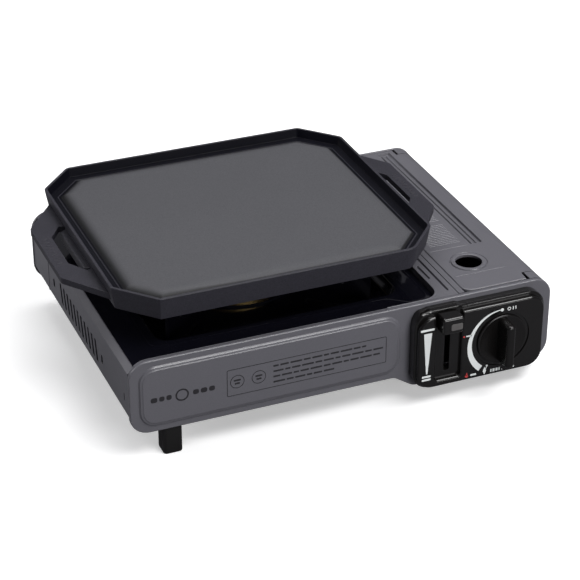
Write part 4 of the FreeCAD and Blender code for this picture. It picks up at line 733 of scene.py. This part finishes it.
class STOVE_OT_top_deck(bpy.types.Operator):
    """Deck round the tray: raised lip, groove and the relief cut behind the lip"""
    bl_idname = "stove.top_deck"
    bl_label = "Top Deck"

    TOP, SEAT = 84.3, 79.1

    def execute(self, context):
        bm = bmesh.new()
        steps = (5.3, 7, 9, 11.5, 15)
        deck = [(x, 3.4, 0) for x in steps] + [(264.6, 3.4, 0.6), (264.6, 251.9, 0.6)]
        deck += [(x, 251.9, 0) for x in reversed(steps)] + [(x, 249.2, 0) for x in steps]
        deck += [(250, 249.2, 14), (250, 4.2, 14)] + [(x, 4.2, 0) for x in reversed(steps)]
        line = outline(bm, "top", self.TOP, deck, steps=8)
        groove = outline(bm, "top", self.TOP, box_corners(258.6, 260.6, 11.3, 244.7, 0.9), steps=4)
        reliefs = [outline(bm, "top", self.TOP, [(253.4, 32.0, 0.7), (255.2, 33.2, 0.7), (255.0, 55.0, 1),
                                                 (252.6, 55.0, 1)], steps=3),
                   outline(bm, "top", self.TOP, [(253.4, 224.0, 0.7), (252.6, 201.0, 1), (255.0, 201.0, 1),
                                                 (255.2, 222.8, 0.7)], steps=3)]
        lines = line + groove
        for relief in reliefs:
            lines += relief
        fill(bm, lines, UP)
        draw_out(bm, line, DOWN * (self.TOP - self.SEAT))
        step_in(bm, cap(bm, groove, UP), [(0.5, -2.0)])
        for relief in reliefs:
            step_in(bm, cap(bm, relief, UP), [(0.3, -1.6)])
        inner_edge = [edge for edge in bm.edges if on_level("z", self.TOP)(edge) and edge in set(line)
                      and all(vert.co.x < 250.1 for vert in edge.verts)]
        bmesh.ops.bevel(bm, geom=inner_edge, offset=1.2, offset_type="OFFSET", segments=3, profile=0.5,
                        affect="EDGES", clamp_overlap=True, material=-1)
        for vert in bm.verts:
            if vert.co.x < 14.9 and vert.co.z > self.TOP - 2:
                fall = 15 - math.sqrt(15 ** 2 - (15 - vert.co.x) ** 2)
                bmesh.ops.translate(bm, verts=[vert], vec=DOWN * fall)
        self.lip(bm)
        piece(bm, "deck_skin", ("grey_paint",), "root", ["top_deck"], closed=False)
        return {"FINISHED"}

    def lip(self, bm):
        """The rolled lip round the tray's opening, and the ledge under the tray."""
        lip = bmesh.new()
        corners = [(205, 3.4, 0.3), (251.6, 3.4, 15), (251.6, 250.4, 15), (160, 250.4, 0.5), (160, 248.8, 0.5),
                   (249.8, 248.8, 13.4), (249.8, 4.6, 13.4), (205, 4.6, 0.3)]
        solid(lip, "top", self.TOP - 0.3, self.TOP + 0.7, corners, steps=8)
        bmesh.ops.recalc_face_normals(lip, faces=lip.faces)
        soften(lip, 0.5, on_level("z", self.TOP + 0.7), segments=3)
        join(bm, lip)
        ledge = bmesh.new()
        solid(ledge, "top", 78.2, 79.0, [(14.3, 4.1, 0), (264.9, 4.1, 0), (264.9, 251.9, 0), (14.3, 251.9, 0),
                                         (14.3, 243.2, 0), (244, 243.2, 12), (244, 12.8, 12), (14.3, 12.8, 0)])
        bmesh.ops.recalc_face_normals(ledge, faces=ledge.faces)
        join(bm, ledge)


class STOVE_OT_drip_tray(bpy.types.Operator):
    """Enamelled tray: flat rim, rolled bead, deep well and the collar round the burner"""
    bl_idname = "stove.drip_tray"
    bl_label = "Drip Tray"

    RIM, FLOOR = 79.9, 68.8
    BEAD = [(23, 20.9, 10), (212.5, 20.9, 7), (226.5, 10.0, 7), (246.8, 10.0, 11), (246.8, 246.0, 11),
            (226.5, 246.0, 7), (212.5, 235.1, 7), (23, 235.1, 10)]

    def execute(self, context):
        bm = bmesh.new()
        rim = outline(bm, "top", self.RIM, [(5.5, 4.7, 2), (249.5, 4.7, 12.5), (249.5, 248.7, 12.5),
                                            (5.5, 248.7, 2)], steps=8)
        bead = outline(bm, "top", self.RIM, self.BEAD, steps=8)
        fill(bm, rim + bead, UP)
        middle = step_in(bm, cap(bm, bead, UP), [(1.5, 0.4), (0.6, 0.08), (0.6, -0.08), (1.5, -0.4)])
        inside = list(middle.edges)
        bmesh.ops.delete(bm, geom=[middle], context="FACES_ONLY")
        well = outline(bm, "top", self.RIM, box_corners(32.5, 228, 28.5, 227.5, 13), steps=8)
        fill(bm, inside + well, UP)
        floor = step_in(bm, cap(bm, well, UP), [(0.25, -0.25), (0.8, -1.2), (2.25, -7.25), (1.5, -1.8), (2.0, -0.6)])
        inside = list(floor.edges)
        bmesh.ops.delete(bm, geom=[floor], context="FACES_ONLY")
        mouth = ring(bm, "top", self.FLOOR, 127.5, 128, 45.5, steps=72)
        fill(bm, inside + mouth, UP)
        collar = step_in(bm, cap(bm, mouth, UP), [(1.2, 1.2), (0.8, 2.3), (0.6, 0.5), (0.6, -0.3)])
        edges = list(collar.edges)
        bmesh.ops.delete(bm, geom=[collar], context="FACES_ONLY")
        draw_out(bm, edges, DOWN * 3.0)
        piece(bm, "tray_skin", ("black_enamel",), "root", ["drip_tray"], wall=mm("tray_sheet"),
              closed=False, sharp=50)
        return {"FINISHED"}


class STOVE_OT_lid(bpy.types.Operator):
    """Canister lid: rounded shoulder, finger hole with its ring, rib channel and relief fields"""
    bl_idname = "stove.lid"
    bl_label = "Canister Lid"

    TOP, START, END = 84.3, 15.0, 241.0

    def execute(self, context):
        bm = bmesh.new()
        top = self.TOP
        line = outline(bm, "top", top, [(270.8, 4.9, 8), (324, 4.9, 1), (324, self.START, 0),
                                        (327.6, self.START, 0), (327.6, self.END, 0), (324, self.END, 0),
                                        (324, 251.1, 1), (270.8, 251.1, 8)], steps=6)
        hole = ring(bm, "top", top, 294.5, 45.8, 15.2, steps=64)
        channel = outline(bm, "top", top, box_corners(308, 320, 71, 248, 2), steps=4)
        fill(bm, line + hole + channel, UP)
        shoulder = [edge for edge in line if all(abs(vert.co.x - 327.6) < 0.01 for vert in edge.verts)]
        rest = [edge for edge in line if edge not in shoulder]
        turned_edge = bmesh.ops.spin(bm, geom=shoulder + list(shoulder[0].verts), cent=(327.6, 0, top - 15),
                                     axis=(0, 1, 0), angle=math.pi / 2, steps=10, use_merge=False)["geom_last"]
        last = [item for item in turned_edge if isinstance(item, bmesh.types.BMEdge)]
        draw_out(bm, last, DOWN * (top - 15 - 55))
        drop = [edge for edge in rest if any(vert.co.x < 323.9 or vert.co.y < 14 or vert.co.y > 242
                                             for vert in edge.verts)]
        draw_out(bm, drop, DOWN * 3.2)
        collar = step_in(bm, cap(bm, hole, UP), [(0.6, -0.7), (0.45, 0), (0.55, 1.15), (0.5, 0.15), (2.0, 0),
                                                 (0.5, -0.35), (0.1, -2.0)])
        bmesh.ops.delete(bm, geom=[collar], context="FACES_ONLY")
        step_in(bm, cap(bm, channel, UP), [(0.3, -0.15), (0.4, -1.9), (0.4, -0.15)])
        soften(bm, 1.3, lambda edge: on_level("z", top)(edge) and edge in set(drop), segments=3, angle=0.9)
        if max(bm.faces, key=lambda face: face.calc_area()).normal.z < 0:
            bmesh.ops.reverse_faces(bm, faces=bm.faces)
        piece(bm, "lid_skin", ("grey_paint",), "lid", ["canister_lid"], wall=mm("sheet"),
                     closed=False)
        self.relief()
        self.hinge_tabs()
        return {"FINISHED"}

    def relief(self):
        """Two ridges in the channel, the fine ribs beside it and the thin frame lines."""
        bm = bmesh.new()
        bars = [(x - 0.7, x + 0.7, 74, 245, 81.6, 83.2, 0.35) for x in (312, 316)]
        bars += [(273.6, 305.4, 70.6, 71.2, 84.2, 84.42, 0.1), (273.6, 318, 27.6, 28.2, 84.2, 84.42, 0.1)]
        bars += [(276.5, 303.5, 78 + 2.6 * step, 79.1 + 2.6 * step, 84.2, 84.46, 0.12) for step in range(60)
                 if step % 15 < 13]
        for x0, x1, y0, y1, low, high, edge in bars:
            bar = bmesh.new()
            solid(bar, "top", low, high, box_corners(x0, x1, y0, y1, min(x1 - x0, y1 - y0) * 0.4), steps=2)
            bmesh.ops.recalc_face_normals(bar, faces=bar.faces)
            soften(bar, edge, on_level("z", high), segments=1)
            join(bm, bar)
        piece(bm, "lid_relief", ("grey_paint",), "lid", (), closed=False)

    def hinge_tabs(self):
        """The two tabs inside the shoulder that turn on the hinge pins."""
        bm = bmesh.new()
        for start in (14.5, 240.6):
            tab = bmesh.new()
            solid(tab, "front", start, start + 0.9, [(332, 55, 1), (341.4, 55.4, 1), (342.1, 56, 0), (342.1, 69, 0),
                                                     (332, 65, 2)], [(337, 60, 1.56)], steps=3)
            join(bm, tab)
        piece(bm, "lid_hinge_tabs", ("grey_paint",), "lid", (), closed=True)


# ---------------------------------------------------------------- control panel, knob and lever

KNOB = (295.5, 46.2)
FASCIA = -12.5


class STOVE_OT_control_panel(bpy.types.Operator):
    """Moulded panel: rounded base, raised plateau, dial recess and the lever's channel"""
    bl_idname = "stove.control_panel"
    bl_label = "Control Panel"

    BASE = [(222.8, 13.7, 14.5), (333.2, 13.7, 14.5), (333.2, 80.5, 14.5), (262, 80.5, 4), (259, 81.6, 4),
            (236, 81.6, 5), (231, 80.5, 5), (222.8, 80.5, 13)]
    PLATEAU = [(224.6, 15.5, 12.8), (331.4, 15.5, 12.8), (331.4, 77.8, 12.8), (261, 77.8, 1.8), (261, 21, 2.5),
               (239.5, 21, 2.5), (239.5, 77.8, 1.8), (224.6, 77.8, 12.8)]

    def execute(self, context):
        bm = bmesh.new()
        line = outline(bm, "front", -7.5, self.BASE, steps=9)
        front = step_in(bm, cap(bm, line, FRONT), [(0.15, 0.3), (0.4, 0.37), (0.4, 0.36), (0.35, 0.32), (0.2, 0.15)])
        draw_out(bm, line, BACK * 7.5)
        border = list(front.edges)
        bmesh.ops.delete(bm, geom=[front], context="FACES_ONLY")
        plateau = outline(bm, "front", -9, self.PLATEAU, steps=9)
        slot = outline(bm, "front", -9, box_corners(247.9, 252.5, 27, 76, 1.2), steps=3)
        fill(bm, border + plateau + slot, FRONT)
        draw_out(bm, slot, BACK * 8)
        face = step_in(bm, cap(bm, plateau, FRONT), [(0.15, 2.2), (0.15, 0.35), (0.38, 0.38), (0.37, 0.37), (0.45, 0.2)])
        border = list(face.edges)
        bmesh.ops.delete(bm, geom=[face], context="FACES_ONLY")
        dial = ring(bm, "front", FASCIA, *KNOB, 23.6, steps=96)
        fill(bm, border + dial, FRONT)
        step_in(bm, cap(bm, dial, FRONT), [(0.25, -0.08), (0.15, -0.3), (0.1, -0.62), (16, 0), (0.1, -7)])
        piece(bm, "fascia", ("black_plastic",), "root", ["control_panel"], closed=False, sharp=32)
        return {"FINISHED"}


class STOVE_OT_knob(bpy.types.Operator):
    """Dished knob with its rim and the grip bar across it"""
    bl_idname = "stove.knob"
    bl_label = "Knob"

    def execute(self, context):
        bm = bmesh.new()
        x, z = KNOB
        dish = [(0, -12.3), (8, -12.35), (14, -12.55), (18, -13.0), (19.2, -13.35), (19.8, -13.4), (20.4, -13.3),
                (20.85, -13.0), (21, -12.6), (21, -12.1), (0, -12.1)]
        turned(bm, "front", x, z, dish, steps=96)
        grip = bmesh.new()
        half = mm("grip_width") / 2 + 0.3
        line = outline(grip, "front", -12.2, box_corners(x - half, x + half, z - 19.4, z + 19.4, half - 0.4),
                       steps=8)
        step_in(grip, cap(grip, line, FRONT), [(0.25, 0.3), (0.45, 13.3), (0.2, 0.9), (0.45, 0.7), (0.8, 0.45),
                                               (0.9, 0.15)])
        join(bm, grip)
        piece(bm, "knob_body", ("knob_plastic",), "knob", ["knob"], closed=False, sharp=40)
        return {"FINISHED"}


class STOVE_OT_lock_lever(bpy.types.Operator):
    """Lever cap with its leaning front, a light grey patch of painted reflection on its lower front, and stem"""
    bl_idname = "stove.lock_lever"
    bl_label = "Lock Lever"

    def execute(self, context):
        bm = bmesh.new()
        profile = [(-9.9, 65.5, 0), (-21.5, 65.5, 2), (-21.2, 79.5, 2.4), (-9.9, 79.5, 0)]
        solid(bm, "side", 240.5, 257.5, profile, steps=5)
        bmesh.ops.recalc_face_normals(bm, faces=bm.faces)
        soften(bm, 1.6, lambda edge: on_level("x", 240.5)(edge) or on_level("x", 257.5)(edge), segments=4)
        stem = bmesh.new()
        solid(stem, "front", -12, 6, box_corners(248.0, 252.4, 66, 74, 0.3), steps=2)
        join(bm, stem)
        piece(bm, "lever_cap", ("black_plastic",), "lever", ["lock_lever"])
        # A light grey plate on the cap's lower front: painted reflection.
        pad = bmesh.new()
        solid(pad, "front", -21.2, -21.7, box_corners(246.8, 256.4, 68.8, 74.2, 1.2), steps=4)
        bmesh.ops.recalc_face_normals(pad, faces=pad.faces)
        soften(pad, 0.25, on_level("y", -21.7))
        piece(pad, "lever_reflection_patch", ("lever_reflection_patch",), "lever", ())
        return {"FINISHED"}


class STOVE_OT_prints(bpy.types.Operator):
    """Printed marks: the dial's crescent and dots, the lever's wedge, and the front panel's frame"""
    bl_idname = "stove.prints"
    bl_label = "Printed Marks"

    def execute(self, context):
        self.dial()
        self.front()
        return {"FINISHED"}

    def mark(self, bm, level, corners=None, disc=None, holes=()):
        """A thin raised print on a front plane: an outline or a (x, z, radius) disc."""
        one = bmesh.new()
        if disc:
            line = ring(one, "front", level, *disc, steps=32)
            for hole in holes:
                line += ring(one, "front", level, *hole, steps=32)
            push(one, fill(one, line, FRONT), FRONT * mm("print_height"))
        else:
            solid(one, "front", level, level - mm("print_height"), corners, holes, steps=3)
        bmesh.ops.recalc_face_normals(one, faces=one.faces)
        join(bm, one)

    def dial(self):
        white = bmesh.new()
        x, z = KNOB
        turns = [math.radians(96 + 136 * step / 40) for step in range(41)]
        inner = [(x + 25.9 * math.cos(turn), z + 25.9 * math.sin(turn), 0) for turn in turns]
        outer = []
        for step, turn in enumerate(turns):
            radius = 26.5 + 4.6 * (step / 40) ** 0.9
            outer.append((x + radius * math.cos(turn), z + radius * math.sin(turn), 0))
        self.mark(white, FASCIA, inner + outer[::-1])
        self.mark(white, FASCIA, disc=(294.2, 72.1, 1.35))
        self.mark(white, FASCIA, disc=(300.2, 71.9, 1.5), holes=[(300.2, 71.9, 0.95)])
        for left in (303.2, 305.4):
            self.mark(white, FASCIA, box_corners(left, left + 0.8, 70.5, 73.3, 0.2))
        self.mark(white, FASCIA, [(281.7, 24.1, 0), (280.2, 20.6, 0), (281.7, 17.2, 0), (283.2, 20.6, 0)])
        self.mark(white, FASCIA, disc=(283.5, 24.9, 0.75))
        self.mark(white, FASCIA, [(282.2, 21.9, 0), (282.8, 21.5, 0), (283.9, 24.3, 0), (283.3, 24.6, 0)])
        for left, right in ((286.9, 288.0), (288.8, 290.6), (291.4, 293.2), (294.0, 295.0), (296.6, 297.2)):
            self.mark(white, FASCIA, box_corners(left, right, 18.3 if right < 296 else 18.2,
                                                 20.9 if right < 296 else 18.9, 0.25))
        self.mark(white, FASCIA, disc=(306.9, 18.9, 0.6))
        self.mark(white, FASCIA, [(228.6, 65.1, 0.2), (235.4, 65.1, 0.2), (232.7, 29.2, 0.2), (231.5, 29.2, 0.2)])
        self.mark(white, FASCIA, box_corners(225.9, 237.3, 67.1, 68.9, 0.3))
        self.mark(white, FASCIA, box_corners(228.2, 235.4, 26.0, 27.7, 0.3))
        self.mark(white, FASCIA, box_corners(228.2, 235.6, 23.2, 24.9, 0.3))
        self.mark(white, FASCIA, box_corners(264.4, 269.4, 54.6, 55.8, 0.3))
        self.mark(white, FASCIA, box_corners(269.6, 274.6, 18.7, 20.2, 0.3))
        piece(white, "white_marks", ("white_print",), "root", ())
        red = bmesh.new()
        self.mark(red, FASCIA, disc=(262.6, 55.2, 0.8))
        self.mark(red, FASCIA, disc=(266.4, 19.3, 1.25))
        self.mark(red, FASCIA, [(265.5, 20.0, 0), (267.3, 20.0, 0), (266.5, 22.6, 0)])
        piece(red, "red_marks", ("red_print",), "root", ())

    def front(self):
        ink = bmesh.new()
        level = -1.7
        self.mark(ink, level, box_corners(74.4, 202.8, 40.8, 63.6, 1.2),
                  holes=[box_corners(74.85, 202.35, 41.25, 63.15, 0.9)])
        rows = [(111, 186), (111, 200), (111, 199), (111, 160)]
        for row, (left, right) in enumerate(rows):
            low = 58.4 - 4.6 * row
            start = left
            for step in range(40):
                width = 4.2 + 2.6 * ((step * 7 + row * 3) % 5) / 2
                end = min(start + width, right)
                if end - start > 1.2:
                    self.mark(ink, level, box_corners(start, end, low, low + 1.35, 0.4))
                start = end + 1.3
                if start > right - 1.5:
                    break
        for middle in (82.5, 99.5):
            self.mark(ink, level, disc=(middle, 52.4, 5.6), holes=[(middle, 52.4, 5.1)])
            self.mark(ink, level, box_corners(middle - 2.8, middle + 2.8, 52.9, 54.3, 0.4))
            self.mark(ink, level, box_corners(middle - 2.0, middle + 2.0, 50.2, 51.6, 0.4))
        self.mark(ink, level, disc=(39.6, 51.5, 5.2), holes=[(39.6, 51.5, 4.0)])
        for left, right in ((15.5, 20.5), (22, 26), (27.5, 31.5), (48, 52.5), (54, 59), (60.5, 65)):
            self.mark(ink, level, box_corners(left, right, 49.6, 53.6, 1.4))
        piece(ink, "front_marks", ("dark_print",), "root", ())


# ---------------------------------------------------------------- feet and pan support

class STOVE_OT_feet(bpy.types.Operator):
    """Four moulded feet with rounded soles"""
    bl_idname = "stove.feet"
    bl_label = "Feet"

    def execute(self, context):
        bm = bmesh.new()
        for x, y, top in ((25.3, 1.6, 23.5), (25.3, 239.4, 23.5), (268, 22, 13), (268, 220, 13)):
            foot = bmesh.new()
            solid(foot, "top", 0, top, box_corners(x, x + 15, y, y + 15, 2.8), steps=5)
            bmesh.ops.recalc_face_normals(foot, faces=foot.faces)
            soften(foot, 1.2, on_level("z", 0), segments=3)
            join(bm, foot)
        piece(bm, "feet_moulded", ("foot_plastic",), "root", ["feet"])
        return {"FINISHED"}


class STOVE_OT_pan_support(bpy.types.Operator):
    """Pressed ring with four fins that carry the griddle"""
    bl_idname = "stove.pan_support"
    bl_label = "Pan Support"

    def execute(self, context):
        bm = bmesh.new()
        x, y, low = 127.5, 128.0, 69.0
        turned(bm, "top", x, y, [(51, low), (51, low + 1.2), (51.4, low + 1.6), (57.6, low + 1.6), (58, low + 1.2),
                                 (58, low), (51, low)], steps=96)
        fin = [(51, low, 0), (117, low, 1), (117, 90, 4), (100, 111.8, 4), (60, 111.8, 5), (51, 82, 4)]
        slot = [(63, 78, 3), (96, 78, 3), (96, 84, 3), (63, 84, 3)]
        for corner in range(4):
            plate = bmesh.new()
            solid(plate, "front", -0.8, 0.8, fin, [slot], steps=4)
            bmesh.ops.recalc_face_normals(plate, faces=plate.faces)
            soften(plate, 0.3, lambda edge: on_level("y", -0.8)(edge) or on_level("y", 0.8)(edge), segments=2)
            turn = Matrix.Translation((x, y, 0)) @ Matrix.Rotation(math.radians(45 + 90 * corner), 4, "Z")
            bmesh.ops.transform(plate, matrix=turn, verts=plate.verts)
            join(bm, plate)
        piece(bm, "pan_support_skin", ("black_enamel",), "support", ["pan_support"])
        return {"FINISHED"}


# ---------------------------------------------------------------- stage

class STOVE_OT_stage(bpy.types.Operator):
    """Pale floor, soft studio light and the camera"""
    bl_idname = "stove.stage"
    bl_label = "Stage"

    def execute(self, context):
        scene = context.scene
        scene.view_settings.view_transform = "Standard"
        scene.view_settings.look = "None"
        self.floor()
        self.world(scene)
        self.light("top_softbox", (0.1, 0.45, 1.6), (0.0, 0.0, 0.05), (1.2, 0.8), 13.0)
        self.light("key_softbox", (0.5, -0.8, 1.4), (0.0, 0.0, 0.05), (1.3, 0.55), 21.0)
        self.light("back_softbox", (0.6, 1.9, 1.7), (0.0, 0.0, 0.05), (2.4, 0.7), 8.0, glossy=False)
        self.light("left_softbox", (-1.6, 0.75, 0.75), (0.0, 0.0, 0.05), (0.9, 0.7), 14.0)
        self.light("front_softbox", (0.55, -1.9, 0.55), (0.0, 0.0, 0.05), (1.1, 0.6), 15.0)
        self.camera(scene)
        return {"FINISHED"}

    def floor(self):
        bm = bmesh.new()
        bmesh.ops.create_grid(bm, x_segments=1, y_segments=1, size=6.0)
        mesh = bpy.data.meshes.new("studio_floor")
        bm.to_mesh(mesh)
        bm.free()
        material = bpy.data.materials.new("studio_floor")
        material.use_nodes = True
        tree = material.node_tree
        shader = tree.nodes["Principled BSDF"]
        shader.inputs["Roughness"].default_value = 0.9
        shader.inputs["Specular IOR Level"].default_value = 0.0
        rays = add(tree, "ShaderNodeLightPath")
        base = add(tree, "ShaderNodeMix", [(0, rays.outputs["Is Camera Ray"])], data_type="RGBA")
        base.inputs[6].default_value = (0.16, 0.16, 0.17, 1)
        base.inputs[7].default_value = tint("floor")
        tree.links.new(base.outputs[2], shader.inputs["Base Color"])
        glow = add(tree, "ShaderNodeMix", [(0, rays.outputs["Is Camera Ray"])], data_type="RGBA")
        glow.inputs[6].default_value = (0, 0, 0, 1)
        glow.inputs[7].default_value = (0.36, 0.36, 0.36, 1)
        tree.links.new(glow.outputs[2], shader.inputs["Emission Color"])
        shader.inputs["Emission Strength"].default_value = 1.0
        mesh.materials.append(material)
        floor = bpy.data.objects.new("studio_floor", mesh)
        bpy.context.scene.collection.objects.link(floor)

    def world(self, scene):
        world = bpy.data.worlds.new("studio")
        scene.world = world
        world.use_nodes = True
        tree = world.node_tree
        background = tree.nodes["Background"]
        rays = tree.nodes.new("ShaderNodeLightPath")
        mix = tree.nodes.new("ShaderNodeMix")
        mix.data_type = "RGBA"
        mix.inputs[6].default_value = (0.10, 0.10, 0.11, 1)
        mix.inputs[7].default_value = (1.0, 1.0, 1.0, 1)
        tree.links.new(rays.outputs["Is Camera Ray"], mix.inputs[0])
        tree.links.new(mix.outputs[2], background.inputs["Color"])
        background.inputs["Strength"].default_value = 1.0

    def light(self, name, place, target, size, power, glossy=True):
        lamp = bpy.data.lights.new(name, "AREA")
        lamp.shape = "RECTANGLE"
        lamp.size, lamp.size_y = size
        lamp.energy = power
        holder = bpy.data.objects.new(name, lamp)
        holder.visible_glossy = glossy
        holder.location = place
        holder.rotation_euler = (Vector(target) - Vector(place)).to_track_quat("-Z", "Y").to_euler()
        bpy.context.scene.collection.objects.link(holder)

    def camera(self, scene):
        lens = bpy.data.cameras.new("camera")
        lens.lens = 121.26
        lens.sensor_width = 36.0
        holder = bpy.data.objects.new("camera", lens)
        place = Vector((-0.5037, -1.2506, 0.8196))
        target = Vector((0.00407, -0.01728, 0.060))
        holder.location = place
        holder.rotation_euler = (target - place).to_track_quat("-Z", "Y").to_euler()
        scene.collection.objects.link(holder)
        scene.camera = holder


class STOVE_PT_panel(bpy.types.Panel):
    """Sizes, colours and makers of the stove"""
    bl_idname = "STOVE_PT_panel"
    bl_label = "Camping Stove"
    bl_space_type = "VIEW_3D"
    bl_region_type = "UI"
    bl_category = "Stove"

    def draw(self, context):
        for title, group in (("Sizes", context.scene.stove_sizes), ("Colours", context.scene.stove_colours)):
            box = self.layout.box()
            box.label(text=title)
            for name in group.bl_rna.properties.keys():
                if name not in ("rna_type", "name"):
                    box.prop(group, name)
        for operator in OPERATORS:
            self.layout.operator(operator.bl_idname)


OPERATORS = (STOVE_OT_finish_nodes, STOVE_OT_stage, STOVE_OT_griddle, STOVE_OT_panels,
             STOVE_OT_body_shell, STOVE_OT_top_deck, STOVE_OT_drip_tray, STOVE_OT_lid,
             STOVE_OT_control_panel, STOVE_OT_knob, STOVE_OT_lock_lever, STOVE_OT_prints, STOVE_OT_feet,
             STOVE_OT_pan_support)
CLASSES = (STOVE_PG_sizes, STOVE_PG_colours, *OPERATORS, STOVE_PT_panel)


def register():
    for item in CLASSES:
        bpy.utils.register_class(item)
    bpy.types.Scene.stove_sizes = bpy.props.PointerProperty(type=STOVE_PG_sizes)
    bpy.types.Scene.stove_colours = bpy.props.PointerProperty(type=STOVE_PG_colours)


def unregister():
    del bpy.types.Scene.stove_colours
    del bpy.types.Scene.stove_sizes
    for item in reversed(CLASSES):
        bpy.utils.unregister_class(item)


def main():
    global FINISHES
    register()
    FINISHES = Finishes()
    for operator in OPERATORS:
        group, name = operator.bl_idname.split(".")
        getattr(getattr(bpy.ops, group), name)()


if __name__ == "__main__":
    main()
